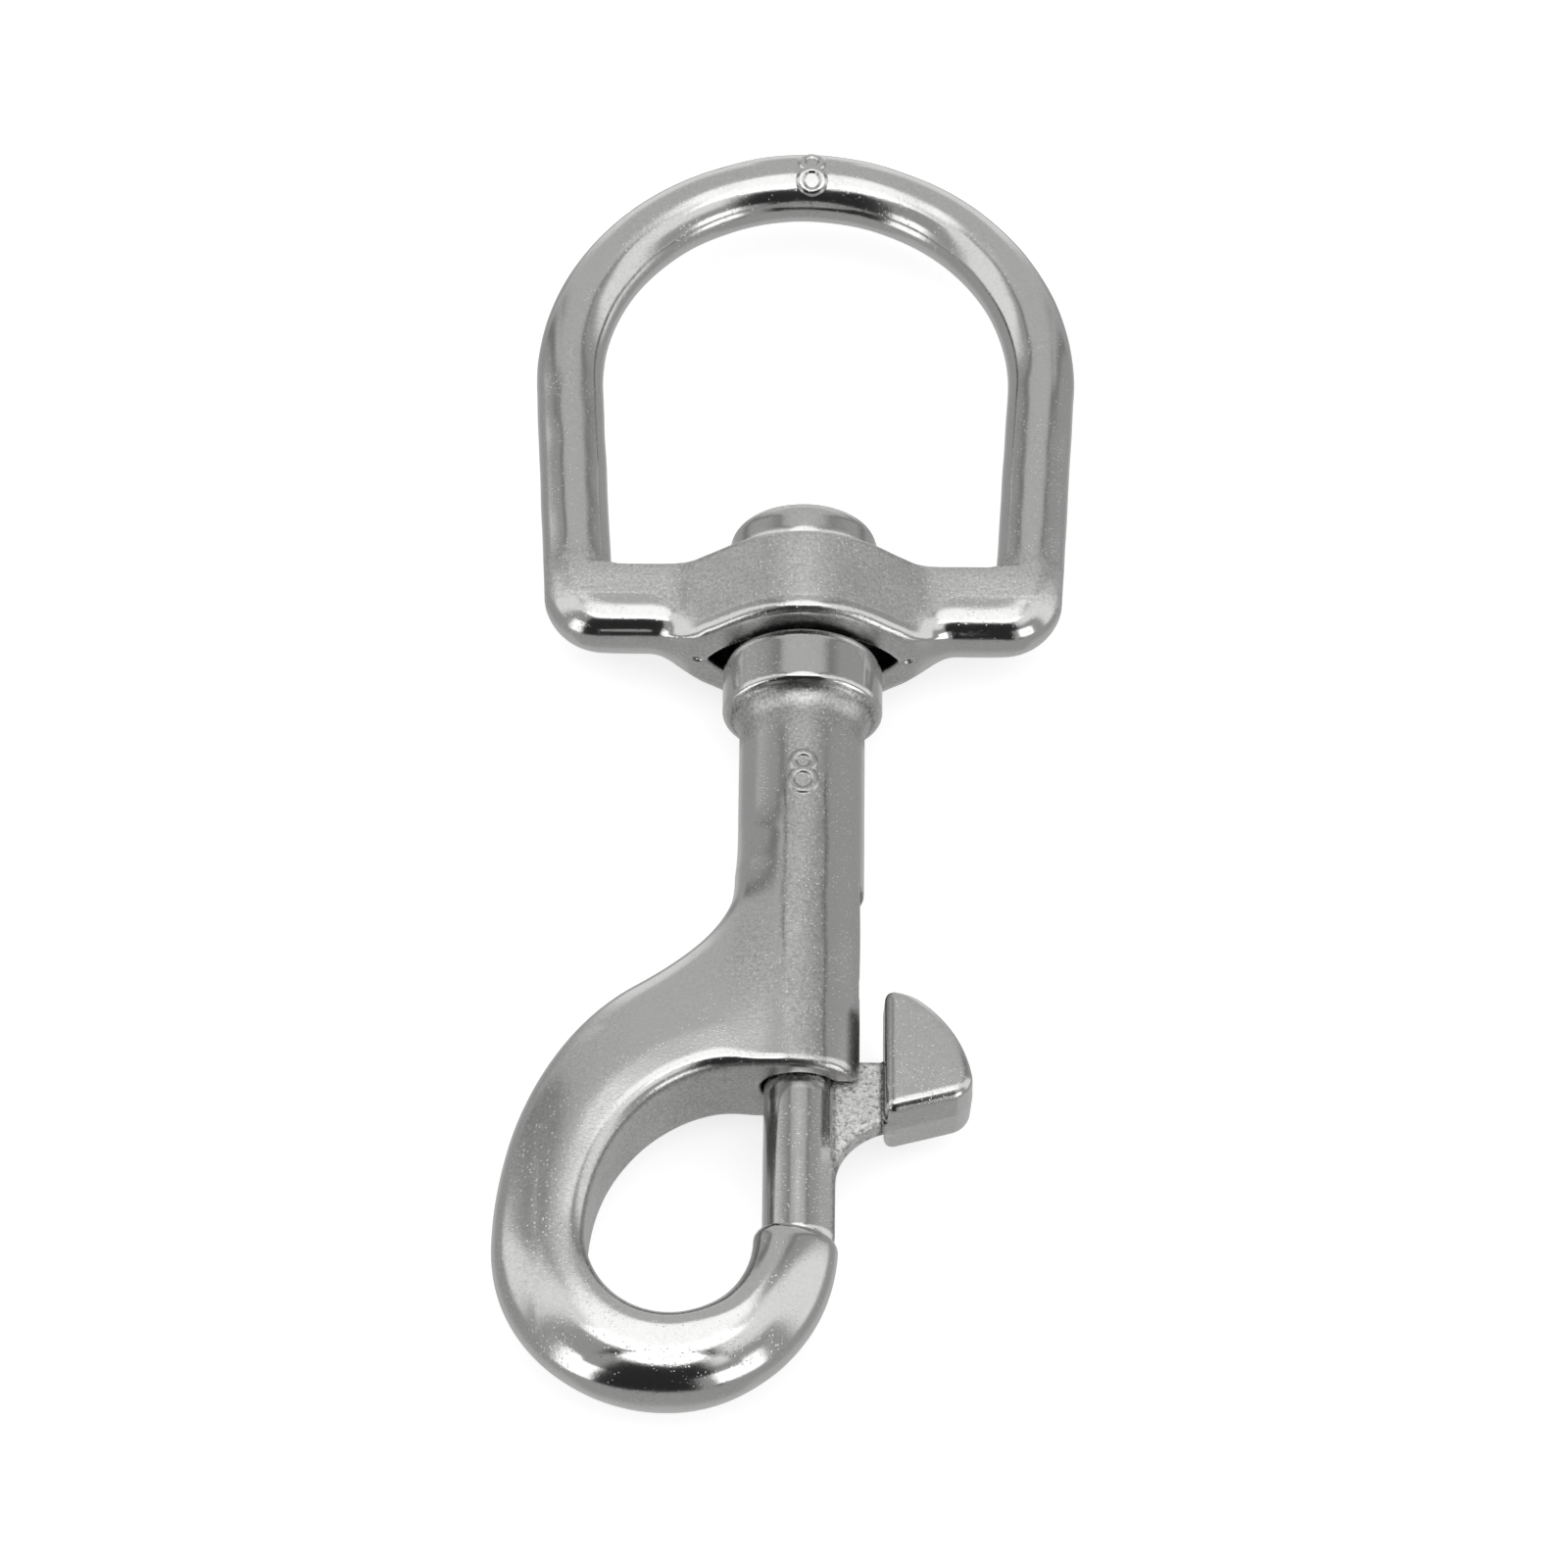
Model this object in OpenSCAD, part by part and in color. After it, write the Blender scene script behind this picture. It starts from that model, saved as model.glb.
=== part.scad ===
// Swivel snap hook with a D-shaped webbing eye and a sprung round bolt.
// The part lies flat: X is its width, Y runs along the swivel axis towards the
// eye, and Z is up through its thickness. The origin is the centre of the eye's
// round top, in the middle plane of the part and on the swivel axis.

/* [Eye] */
// Centreline radius of the eye's round top
eye_arc_r = 20.9; // [18:0.1:30]
// Diameter of the eye's top and side bars
eye_bar_d = 5.9; // [4:0.1:7]
// Centreline spacing of the side bars where they meet the lower bar
eye_foot_w = 38.8; // [34:0.1:50]
// Distance from the centre of the round top down to the lower bar's centreline
eye_drop = 24.15; // [22:0.1:40]
// Outer radius of the eye's two lower corners
eye_corner_r = 5; // [4:0.1:6]
// Height of the lower bar, along the swivel axis
foot_h = 6.7; // [5:0.1:8]
// Thickness of the lower bar
foot_t = 6.2; // [4.4:0.1:7]
// Squareness of the lower bar's section, where 2 is an oval
foot_square = 3.6; // [2:0.1:5]
// Radius inside the eye's two lower corners
inner_corner_r = 0.8; // [0.4:0.1:2]

/* [Ring boss] */
// Outer diameter of the ring boss around the swivel pin
boss_d = 17.5; // [16:0.1:20]
// Height of the ring boss
boss_h = 8; // [6:0.1:9]
// How far the boss stands below the lower bar's underside
boss_lip = 1.3; // [0.8:0.1:2.6]
// Radius of the hollow blend between the boss and the lower bar
boss_blend_r = 3.2; // [2:0.1:4]
// Rounding of the boss's two rims
boss_edge_r = 0.6; // [0.2:0.1:0.7]
// Wall left beside the lens-shaped pocket in the boss's underside
pocket_side = 0.85; // [0.8:0.05:1.6]
// Wall left in front of and behind that pocket
pocket_front = 2.9; // [2.4:0.1:4]
// How far the pocket goes up into the boss
pocket_h = 2.2; // [1:0.1:3.5]

/* [Swivel pin] */
// Shank diameter of the swivel pin
pin_d = 6.4; // [5:0.1:7]
// Diameter of the pin's head
head_d = 12.8; // [10:0.1:14]
// Height of the pin's head
head_h = 4.1; // [2.5:0.1:5]
// Rounding of the head's top rim
head_edge_r = 1.2; // [0.4:0.1:1.6]
// Length of the shank pressed into the collar and barrel
pin_grip = 7.2; // [5:0.1:9]

/* [Collar and barrel] */
// Diameter of the collar under the boss
collar_d = 13.7; // [12.4:0.1:14]
// Height of the collar down to its crease
collar_h = 4.9; // [3.5:0.1:6]
// Rounding of the collar's top rim
collar_edge_r = 1.45; // [0.6:0.05:1.8]
// How far the collar draws in above its crease
collar_draw = 0.25; // [0.1:0.05:0.5]
// Height of the round neck between the crease and the barrel
neck_h = 2.2; // [1.6:0.1:3]
// Outer diameter of the barrel
barrel_d = 10.7; // [10:0.1:11.5]
// Length from the collar's top to the barrel's mouth
barrel_l = 40.5; // [40:0.1:60]
// Rounding of the barrel's mouth
barrel_edge_r = 0.6; // [0.2:0.1:0.9]
// Chamfer where the bore opens at the mouth
bore_chamfer = 0.5; // [0.2:0.1:0.7]
// Width of the slot that the bolt's web runs in
slot_w = 3.8; // [3.4:0.1:4.6]

/* [Hook] */
// Opening between the barrel's mouth and the nose's rim
mouth_gap = 13.5; // [10:0.1:15]
// Half width of the round bowl of the hook's opening
bowl_rx = 6.9; // [5:0.1:9]
// Half height of that bowl
bowl_ry = 7; // [5:0.1:9]
// Distance from the nose's rim down to the widest place of the bowl
bowl_drop = 1; // [0.5:0.1:2]
// Thickness of the hook at the bottom of its bowl, measured in its plane
bend_wall = 6.6; // [5:0.1:8]
// Thickness of the hook's back beside the bowl, measured in its plane
back_wall = 7.7; // [6:0.1:9]
// Thickness of the hook through the part at the bowl
bend_t = 9.6; // [8:0.1:10.2]
// Thickness of the hook's web through the part where it meets the barrel
web_root_t = 10.3; // [8.5:0.1:10.4]
// Height of the hook's shoulder above the widest place of the bowl
shoulder_h = 25; // [20:0.1:28]
// Length of the hollow sweep from the shoulder up the barrel
root_sweep = 9.5; // [4:0.1:11]
// Rounding of the hook's inner edges
inner_edge_r = 1; // [0.5:0.1:1.6]
// Thickness of the nose's rim around its seat
rim_wall = 0.35; // [0.3:0.05:0.8]
// Depth of the seat in the nose
seat_h = 1.5; // [1:0.1:2]

/* [Bolt] */
// Diameter of the bolt
bolt_d = 5.8; // [5:0.1:6]
// How far the bolt reaches up inside the barrel when it is shut
bolt_guide = 11.3; // [8:0.1:14]
// Travel of the bolt from shut to open
bolt_travel = 15; // [12:0.1:16]
// Thickness of the web between the bolt and its thumb piece
web_t = 2.6; // [1.6:0.1:3]
// Distance from the barrel's mouth up to the web's top edge
web_rise = 2.3; // [1:0.1:3]
// Radius of the hollow under the web
web_hollow_r = 6; // [4:0.1:6.5]
// Gap between the barrel and the thumb piece
thumb_gap = 1.65; // [0.8:0.05:3]
// Width of the thumb piece
thumb_w = 7.4; // [5:0.05:9]
// Radius of the thumb piece's long round side
thumb_arc_r = 10.9; // [9.5:0.1:14]
// Length of the thumb piece's straight side
thumb_l = 10.8; // [9:0.1:12]
// Thickness of the thumb piece
thumb_t = 7.6; // [4:0.1:9]
// How far the thumb piece hangs below the barrel's mouth
thumb_drop = 2.7; // [1:0.1:3]
// Rounding of the thumb piece's corners
thumb_corner_r = 1; // [0.3:0.1:1.5]
// Slope of the thumb piece's lower side, in degrees
thumb_slope = 8; // [0:1:12]

/* [Spring] */
// Wire diameter of the spring
wire_d = 0.6; // [0.4:0.05:0.6]
// Number of turns of the spring
turns = 10; // [7:0.5:10]

/* [Fits] */
// Radial clearance of the swivel pin in the boss
pin_fit = 0.06; // [0.02:0.01:0.1]
// Radial clearance of the bolt in its bore
bolt_fit = 0.08; // [0.02:0.01:0.1]
// End play under the pin's head
head_play = 0.1; // [0.05:0.05:0.3]
// Gap between the boss's underside and the collar
collar_play = 0.7; // [0.3:0.1:1]
// Gap between the bolt's tip and the nose's seat
tip_gap = 0.15; // [0.1:0.05:0.3]
// Gap between the spring's ends and what they press on
spring_gap = 0.1; // [0.05:0.05:0.3]
// Radial gap between the spring and its bore
spring_side_gap = 0.25; // [0.15:0.05:0.5]
// Gap between the web and the slot's end when the bolt is open
slot_end_gap = 0.8; // [0.4:0.1:1.5]

/* [Hidden] */

// Sides of round faces
fine = 64;
// Overlap that joins solids and runs cuts past their faces
join = 1;

steel = "#a9aaa8";
pin_steel = "#b3b3b0";
spring_steel = "#8c8f92";

// Places along the swivel axis
foot_top = -eye_drop + foot_h / 2;
foot_base = -eye_drop - foot_h / 2;
boss_base = foot_base - boss_lip;
boss_top = boss_base + boss_h;
head_base = boss_top + head_play;
collar_top = boss_base - collar_play;
crease_y = collar_top - collar_h;
neck_y = crease_y - neck_h;
pin_end = collar_top - pin_grip;
mouth_y = collar_top - barrel_l;
rim_y = mouth_y - mouth_gap;
seat_y = rim_y - seat_h;
tip_y = seat_y + tip_gap;
guide_y = mouth_y + bolt_guide;

// Radii and half sizes shared by pieces that fit each other
bar_r = eye_bar_d / 2;
boss_r = boss_d / 2;
collar_r = collar_d / 2;
crease_r = collar_r - collar_draw;
barrel_r = barrel_d / 2;
bolt_r = bolt_d / 2;
bore_r = bolt_r + bolt_fit;
seat_taper = 0.8;
rim_r = bore_r + rim_wall;

// The side bars lean in towards the lower bar and leave the round top as tangents
side_lean = asin(eye_arc_r / norm([eye_drop, eye_foot_w / 2]))
    - atan2(eye_foot_w / 2, eye_drop);

// Place of the bolt's web and of its slot
web_top = mouth_y + web_rise;
slot_top = web_top + bolt_travel + slot_end_gap;
thumb_x = barrel_r + thumb_gap;
thumb_base = mouth_y - thumb_drop;

// Lens of the boss's pocket, between two arcs
pocket_w = boss_d - 2 * pocket_side;
pocket_t = boss_d - 2 * pocket_front;
pocket_r = (pow(pocket_w, 2) + pow(pocket_t, 2)) / (4 * pocket_t);

// Solid turned about the swivel axis from points that give radius and height
module turned(points) rotate([-90, 0, 0]) rotate_extrude($fn = fine) polygon(points);

// Bar or disc along the swivel axis between two heights
module shaft(r, from_y, to_y, tip_r = -1)
    translate([0, from_y, 0]) rotate([-90, 0, 0])
        cylinder(r1 = r, r2 = tip_r < 0 ? r : tip_r, h = to_y - from_y, $fn = fine);

// Flat outline given in X and Y, thickened evenly about the middle plane
module plate(t) translate([0, 0, -t / 2]) linear_extrude(t) children();

// Points of an arc about a centre
function arc(cx, cy, r, from, to, steps) =
    [for (i = [0:steps]) let (a = from + (to - from) * i / steps) [cx + r * cos(a), cy + r * sin(a)]];

// Skin over a list of rings with the same number of points, closed by caps at
// its two ends or joined end to end as a loop
module skin(rings, loop = false) {
    n = len(rings[0]);
    count = len(rings);
    polyhedron(
        points = [for (ring = rings) for (p = ring) p],
        faces = concat(
            loop ? [] : [[for (j = [n - 1:-1:0]) j], [for (j = [0:n - 1]) (count - 1) * n + j]],
            [for (i = [0:count - (loop ? 1 : 2)], j = [0:n - 1])
                let (k = (j + 1) % n, next = (i + 1) % count)
                [i * n + j, i * n + k, next * n + k, next * n + j]]),
        convexity = 4);
}

// Ring that stands on the line from an inner to an outer point, from points that
// give the distance along that line and the height
function stand(inner, outer, points) = let (dir = (outer - inner) / norm(outer - inner))
    [for (p = points) [inner[0] + dir[0] * p[0], inner[1] + dir[1] * p[0], p[1]]];

// Eye: round top, leaning side bars, lower bar and ring boss in one casting.
// The loop is a row of sections, each with its inner point, outer point, half
// thickness and squareness, where 2 is an ellipse.
corner_steps = 6;
top_steps = 14;
section_sides = 20;

// Place of a corner's centre, as far below the leaning side as its radius
function corner_centre(reach, y) = [(reach + y * sin(side_lean)) / cos(side_lean), y];
outer_centre = corner_centre(eye_arc_r + bar_r - eye_corner_r, foot_base + eye_corner_r);
inner_centre = corner_centre(eye_arc_r - bar_r - inner_corner_r, foot_top + inner_corner_r);

half_loop = concat(
    [[[0, foot_top], [0, foot_base], foot_t / 2, foot_square],
     [[boss_r, foot_top], [boss_r, foot_base], foot_t / 2, foot_square]],
    [for (i = [0:corner_steps]) let (
            k = i / corner_steps,
            a = -90 + (90 - side_lean) * k,
            turn = [cos(a), sin(a)])
        [inner_centre + inner_corner_r * turn, outer_centre + eye_corner_r * turn,
            (foot_t + (eye_bar_d - foot_t) * k) / 2, foot_square + (2 - foot_square) * k]],
    [for (i = [0:top_steps]) let (a = -side_lean + (90 + side_lean) * i / top_steps, turn = [cos(a), sin(a)])
        [(eye_arc_r - bar_r) * turn, (eye_arc_r + bar_r) * turn, bar_r, 2]]);
function mirrored(s) = [[-s[0][0], s[0][1]], [-s[1][0], s[1][1]], s[2], s[3]];
eye_sections = concat(half_loop, [for (i = [len(half_loop) - 2:-1:1]) mirrored(half_loop[i])]);

function power(x, n) = sign(x) * pow(abs(x), 2 / n);
function oval(length, half_t, n) = [for (j = [0:section_sides - 1]) let (b = -360 * (j + 0.5) / section_sides)
    [length / 2 * (1 - power(cos(b), n)), half_t * power(sin(b), n)]];

module eye_loop() skin([for (s = eye_sections) stand(s[0], s[1], oval(norm(s[1] - s[0]), s[2], s[3]))],
    loop = true);

// Hollow blend between the round boss and one side of the lower bar, seen along
// the swivel axis, and its side view, which rises to the bar's underside
blend_sink = 0.05;
blend_ease = 0.7;
blend_z = foot_t / 2 - blend_sink + boss_blend_r;
blend_x = sqrt(pow(boss_r - blend_sink + boss_blend_r, 2) - pow(blend_z, 2));
module boss_blend() intersection() {
    translate([0, boss_top, 0]) rotate([90, 0, 0]) linear_extrude(boss_h) difference() {
        polygon([[0, 0], [blend_x, blend_z], [blend_x, -blend_z]]);
        for (side = [-1, 1]) translate([blend_x, side * blend_z]) circle(boss_blend_r, $fn = fine);
    }
    plate(2 * blend_z) polygon([
        [0, boss_base + boss_edge_r], [boss_r + blend_ease, boss_base + boss_edge_r],
        [blend_x, foot_base + blend_ease / 2], [blend_x, foot_top - blend_ease],
        [boss_r, boss_top - boss_edge_r / 2], [0, boss_top - boss_edge_r / 2]]);
}

module boss() {
    turned(concat([[0, boss_base], [boss_r - boss_edge_r, boss_base]],
        arc(boss_r - boss_edge_r, boss_base + boss_edge_r, boss_edge_r, -90, 0, 8),
        arc(boss_r - boss_edge_r, boss_top - boss_edge_r, boss_edge_r, 0, 90, 8),
        [[0, boss_top]]));
    for (turn = [0, 180]) rotate([0, turn, 0]) boss_blend();
}

module boss_pocket() {
    offset_z = pocket_r - pocket_t / 2;
    translate([0, boss_base - join, 0]) rotate([-90, 0, 0]) linear_extrude(pocket_h + join)
        intersection() {
            translate([0, offset_z]) circle(pocket_r, $fn = fine);
            translate([0, -offset_z]) circle(pocket_r, $fn = fine);
        }
}

module eye() color(steel) difference() {
    union() {
        eye_loop();
        boss();
    }
    boss_pocket();
    shaft(pin_d / 2 + pin_fit, boss_base - join, boss_top + join);
}

// Swivel pin: a headed pin, pressed into the collar and free in the boss
module swivel_pin() color(pin_steel) {
    shank_r = pin_d / 2;
    head_r = head_d / 2;
    head_top = head_base + head_h;
    turned(concat([[0, pin_end], [shank_r, pin_end], [shank_r, head_base], [head_r, head_base]],
        arc(head_r - head_edge_r, head_top - head_edge_r, head_edge_r, 0, 90, 12),
        [[0, head_top]]));
}

// Collar and barrel, one turned shape
module barrel() turned(concat([[0, mouth_y]],
    arc(barrel_r - barrel_edge_r, mouth_y + barrel_edge_r, barrel_edge_r, -90, 0, 6),
    [for (i = [0:8]) let (a = 90 * i / 8)
        [barrel_r + (crease_r - barrel_r) * (1 - cos(a)), neck_y + neck_h * sin(a)]],
    [[collar_r, crease_y + collar_h / 3]],
    arc(collar_r - collar_edge_r, collar_top - collar_edge_r, collar_edge_r, 0, 90, 10),
    [[0, collar_top]]));

// Hook: sections that run from the nose round the bowl and up to the barrel.
// The inner edge is half an ellipse and then a quarter of a larger one. The
// outer edge is the bowl plus the wall, then a round shoulder that sweeps
// hollow into the barrel.
bowl_x = -rim_r - bowl_rx;
bowl_y = rim_y - bowl_drop;
back_x = bowl_x - bowl_rx - back_wall;
shoulder_x = back_x + 17;
crook_x = -barrel_r + 0.8;
bowl_steps = 16;
rise_steps = 14;

// Wall of the hook round the bowl, from the nose at 0 to the back at 180 degrees
function bowl_wall(a) = a < 90
    ? bend_wall + (2 * rim_r - bend_wall) * pow(1 - a / 90, 4) - 0.2 * sin(2 * a)
    : bend_wall + (back_wall - bend_wall) * pow(sin(a - 90), 1.4);

// Half thickness of the hook round the bowl
function bowl_half_t(a) = let (k = min(1, a / 70)) rim_r + (bend_t / 2 - rim_r) * k * (2 - k);

function bowl_inner(a) = [bowl_x + bowl_rx * cos(a), bowl_y - bowl_ry * sin(a)];
function bowl_outer(a) = bowl_inner(a) + bowl_wall(a) * [cos(a), -sin(a)];

function rise_inner(k) = let (a = 90 * k)
    [crook_x + (bowl_x - bowl_rx - crook_x) * cos(a), bowl_y + (mouth_y - bowl_y) * sin(a)];

// Shoulder for the first part of the rise, then the hollow sweep
shoulder_share = 0.6;
shoulder_turn = 68;
function shoulder(a) = [shoulder_x + (back_x - shoulder_x) * cos(a), bowl_y + shoulder_h * sin(a)];
function sweep(k) = let (
        p = shoulder(shoulder_turn),
        slope = shoulder(shoulder_turn + 1) - shoulder(shoulder_turn - 1),
        top = [-barrel_r, p[1] + root_sweep + 1.6],
        reach = p + slope * (4.6 / norm(slope)),
        m = 1 - k)
    m * m * m * p + 3 * m * m * k * reach + 3 * m * k * k * (top - [0, 5.6]) + k * k * k * top;
function rise_outer(k) = k < shoulder_share
    ? shoulder(shoulder_turn * k / shoulder_share)
    : sweep((k - shoulder_share) / (1 - shoulder_share));
function rise_half_t(k) = (bend_t + (web_root_t - bend_t) * k) / 2;

// Each section holds its inner point, outer point and half thickness
hook_sections = concat(
    [[[-rim_r, rim_y], [rim_r, rim_y], rim_r],
     [[-rim_r - 0.35, rim_y - 0.45], [rim_r - 0.05, rim_y - 0.45], rim_r + 0.15]],
    [for (i = [1:bowl_steps]) let (a = 180 * i / bowl_steps)
        [bowl_inner(a), bowl_outer(a), bowl_half_t(a)]],
    [for (i = [1:rise_steps]) let (k = i / rise_steps) [rise_inner(k), rise_outer(k), rise_half_t(k)]],
    [[[0, mouth_y], [0, rise_outer(1)[1]], web_root_t / 2]]);

// Points of one section: a flat inner wall with rounded edges and a full round
// outer side, given as distance from the inner point and height
round_from = 0.3;
edge_points = 4;
round_points = 10;
function half_section(length, half_t) = let (r = min(inner_edge_r, length * round_from))
    concat(
        [for (i = [0:edge_points]) let (a = 90 * i / edge_points)
            [r * (1 - cos(a)), half_t - r + r * sin(a)]],
        [for (i = [0:round_points - 1]) let (a = 90 * i / round_points)
            [length * (round_from + (1 - round_from) * sin(a)), half_t * cos(a)]]);
function full_section(length, half_t) = let (half = half_section(length, half_t), n = len(half))
    concat(half, [[length, 0]], [for (i = [n - 1:-1:0]) [half[i][0], -half[i][1]]]);

module hook() skin([for (s = hook_sections)
    stand(s[0], s[1], full_section(norm(s[1] - s[0]), s[2]))]);

module hook_body() color(steel) difference() {
    union() {
        barrel();
        hook();
    }
    shaft(pin_d / 2, pin_end, collar_top + join);
    shaft(bore_r, mouth_y - join, pin_end + join / 4);
    shaft(bore_r + bore_chamfer, mouth_y - join, mouth_y);
    shaft(bore_r + bore_chamfer, mouth_y, mouth_y + bore_chamfer, bore_r);
    translate([0, mouth_y - join, -slot_w / 2])
        cube([barrel_r + join, slot_top - mouth_y + join, slot_w]);
    shaft(bore_r - seat_taper, seat_y, rim_y, bore_r);
    shaft(bore_r, rim_y, mouth_y);
}

// Bolt: round bolt, web and thumb piece in one casting
module bolt_web() plate(web_t) difference() {
    translate([0, thumb_base - web_hollow_r])
        square([thumb_x + join, web_top - thumb_base + web_hollow_r]);
    translate([bolt_r + web_hollow_r, thumb_base - web_hollow_r]) circle(web_hollow_r, $fn = fine);
    translate([bolt_r + web_hollow_r, thumb_base - 2 * web_hollow_r])
        square([web_hollow_r, 2 * web_hollow_r]);
}

module thumb() {
    corner = [thumb_x + thumb_w, thumb_base + thumb_w * tan(thumb_slope)];
    arc_x = corner[0] - thumb_arc_r;
    plate(thumb_t) offset(thumb_corner_r, $fn = fine / 2) offset(-thumb_corner_r) intersection() {
        translate([arc_x, corner[1]]) circle(thumb_arc_r, $fn = fine * 2);
        polygon([[thumb_x, thumb_base], corner, [corner[0], thumb_base + thumb_l],
            [thumb_x, thumb_base + thumb_l]]);
    }
}

module bolt() color(steel) {
    shaft(bolt_r, rim_y + tip_gap, guide_y);
    shaft(bolt_r - seat_taper, tip_y, rim_y + tip_gap, bolt_r);
    bolt_web();
    thumb();
}

// Spring: one wire coiled between the pin's end and the bolt's top
spring_path_r = bore_r - spring_side_gap - wire_d / 2;
spring_low = guide_y + spring_gap + wire_d / 2;
spring_high = pin_end - spring_gap - wire_d / 2;
steps_per_turn = 16;
wire_sides = 8;

// The two end turns lie nearly closed, so the rise is small near each end
function spring_rise(k) = let (end = 1 / turns, closed = wire_d * 1.1 / (spring_high - spring_low))
    k < end ? closed * k / end
    : k > 1 - end ? 1 - closed * (1 - k) / end
    : closed + (1 - 2 * closed) * (k - end) / (1 - 2 * end);

module spring() color(spring_steel) {
    steps = floor(turns * steps_per_turn);
    skin([for (i = [0:steps]) let (
            k = i / steps,
            a = -360 * turns * k,
            y = spring_low + (spring_high - spring_low) * spring_rise(k))
        [for (j = [0:wire_sides - 1]) let (
                b = 360 * j / wire_sides,
                r = spring_path_r + wire_d / 2 * cos(b))
            [r * cos(a), y + wire_d / 2 * sin(b), r * sin(a)]]]);
}

eye();
hook_body();
swivel_pin();
bolt();
spring();
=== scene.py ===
"""Swivel snap hook in cast stainless steel, dressed for its studio picture.

Lengths are in millimetres inside the shape fields and in metres in Blender. A main
piece is a signed distance field, negative inside the metal, which is meshed by surface
nets and then drawn exactly onto the field. X is across the hook, Y runs along the
swivel axis towards the eye and Z points away from the table.

In the names of sizes, r is a radius, w a width along X, h a height or length along Y,
l a length along Y, t a thickness along Z, and x or y a place on that axis. An edge_r is
the radius of a rounded edge.
"""
import logging
import math
from dataclasses import dataclass, field
from enum import Enum
from typing import Callable, Sequence

import bmesh
import bpy
import numpy as np
from mathutils import Matrix, Vector


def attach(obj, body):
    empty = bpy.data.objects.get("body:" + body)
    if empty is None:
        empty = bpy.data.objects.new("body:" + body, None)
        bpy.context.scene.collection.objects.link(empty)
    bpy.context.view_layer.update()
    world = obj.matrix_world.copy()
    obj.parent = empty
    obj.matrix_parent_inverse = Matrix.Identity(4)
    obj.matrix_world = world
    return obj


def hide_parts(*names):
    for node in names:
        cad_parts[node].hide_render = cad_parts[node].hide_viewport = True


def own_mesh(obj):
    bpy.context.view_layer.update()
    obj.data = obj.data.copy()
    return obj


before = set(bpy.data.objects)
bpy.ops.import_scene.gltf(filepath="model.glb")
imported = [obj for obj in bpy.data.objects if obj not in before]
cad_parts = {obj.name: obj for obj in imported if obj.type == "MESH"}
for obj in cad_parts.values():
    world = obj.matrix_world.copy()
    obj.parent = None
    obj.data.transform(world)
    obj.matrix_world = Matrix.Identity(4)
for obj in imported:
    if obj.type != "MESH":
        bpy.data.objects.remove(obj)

log = logging.getLogger("snap_hook")
MM = 0.001
CORNERS = [(a, b, c) for a in (0, 1) for b in (0, 1) for c in (0, 1)]

Array = np.ndarray
Field = Callable[[Array, Array, Array], Array]
Box = tuple[Sequence[float], Sequence[float]]
Socket = bpy.types.NodeSocket


class Slot(Enum):
    """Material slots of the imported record."""

    CAST = "cast_steel"
    TURNED = "turned_steel"
    SPRING = "spring_steel"


class Body(Enum):
    """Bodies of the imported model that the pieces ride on."""

    HOOK = "hook"
    EYE = "eye"
    BOLT = "bolt"


# Fields and how they join


def smooth_min(a: Array, b: Array, reach: float) -> Array:
    """Joins two fields with a hollow fillet.

    Args:
        a: First field.
        b: Second field.
        reach: Distance over which the two run into each other.

    Returns:
        The field of the joined shape.
    """
    h = np.maximum(reach - np.abs(a - b), 0.0) / reach
    return np.minimum(a, b) - h * h * h * reach / 6.0


def round_max(a: Array, b: Array, radius: Array | float) -> Array:
    """Cuts one field with another and rounds the edge between them.

    Args:
        a: First field.
        b: Second field.
        radius: Radius of the rounded edge.

    Returns:
        The field of the part that lies in both.
    """
    u = np.maximum(a + radius, 0.0)
    v = np.maximum(b + radius, 0.0)
    return np.minimum(np.maximum(a, b), -radius) + np.hypot(u, v)


def ease(value: Array, low: float, high: float) -> Array:
    """Rises smoothly from 0 at low to 1 at high."""
    k = np.clip((value - low) / (high - low), 0.0, 1.0)
    return k * k * (3.0 - 2.0 * k)


def fade(value: Array, low: float, high: float) -> Array:
    """Falls smoothly from 1 at low to 0 at high."""
    return 1.0 - ease(value, low, high)


def hump(value: Array, middle: float, reach: float) -> Array:
    """Rises to 1 at its middle and dies away on both sides of it."""
    return np.exp(-((value - middle) / reach) ** 2)


def half_oval(inward: Array, width: Array, start: Array | float, z: Array, half_t: Array) -> Array:
    """Field of a bar whose inner stretch is flat and whose outer side is half an oval.

    Args:
        inward: Distance from the bar's inner side.
        width: Width of the bar.
        start: Share of the width at which the oval starts.
        z: Height above the middle plane.
        half_t: Half thickness of the bar.

    Returns:
        The field of the bar, open on its inner side.
    """
    u = np.maximum(inward / width - start, 0.0) / (1.0 - start)
    v = np.abs(z) / half_t
    k0 = np.hypot(u, v)
    k1 = np.hypot(u / (width * (1.0 - start)), v / half_t)
    return k0 * (k0 - 1.0) / np.maximum(k1, 1e-6)


def arc_points(cx: float, cy: float, r: float, start: float, end: float,
               steps: int) -> list[tuple[float, float]]:
    """Points of an arc, with its angles in degrees."""
    turns = np.radians(np.linspace(start, end, steps + 1))
    return [(cx + r * math.cos(a), cy + r * math.sin(a)) for a in turns]


def thicken_path(points: Sequence[Sequence[float]], spacing: float = 0.25) -> Array:
    """Splits the long sides of a closed outline so that its points lie close together."""
    out = []
    for i, start in enumerate(points):
        end = points[(i + 1) % len(points)]
        count = max(1, int(math.dist(start, end) / spacing))
        out += [np.array(start) + (np.array(end) - np.array(start)) * k / count for k in range(count)]
    return np.array(out)


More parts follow.
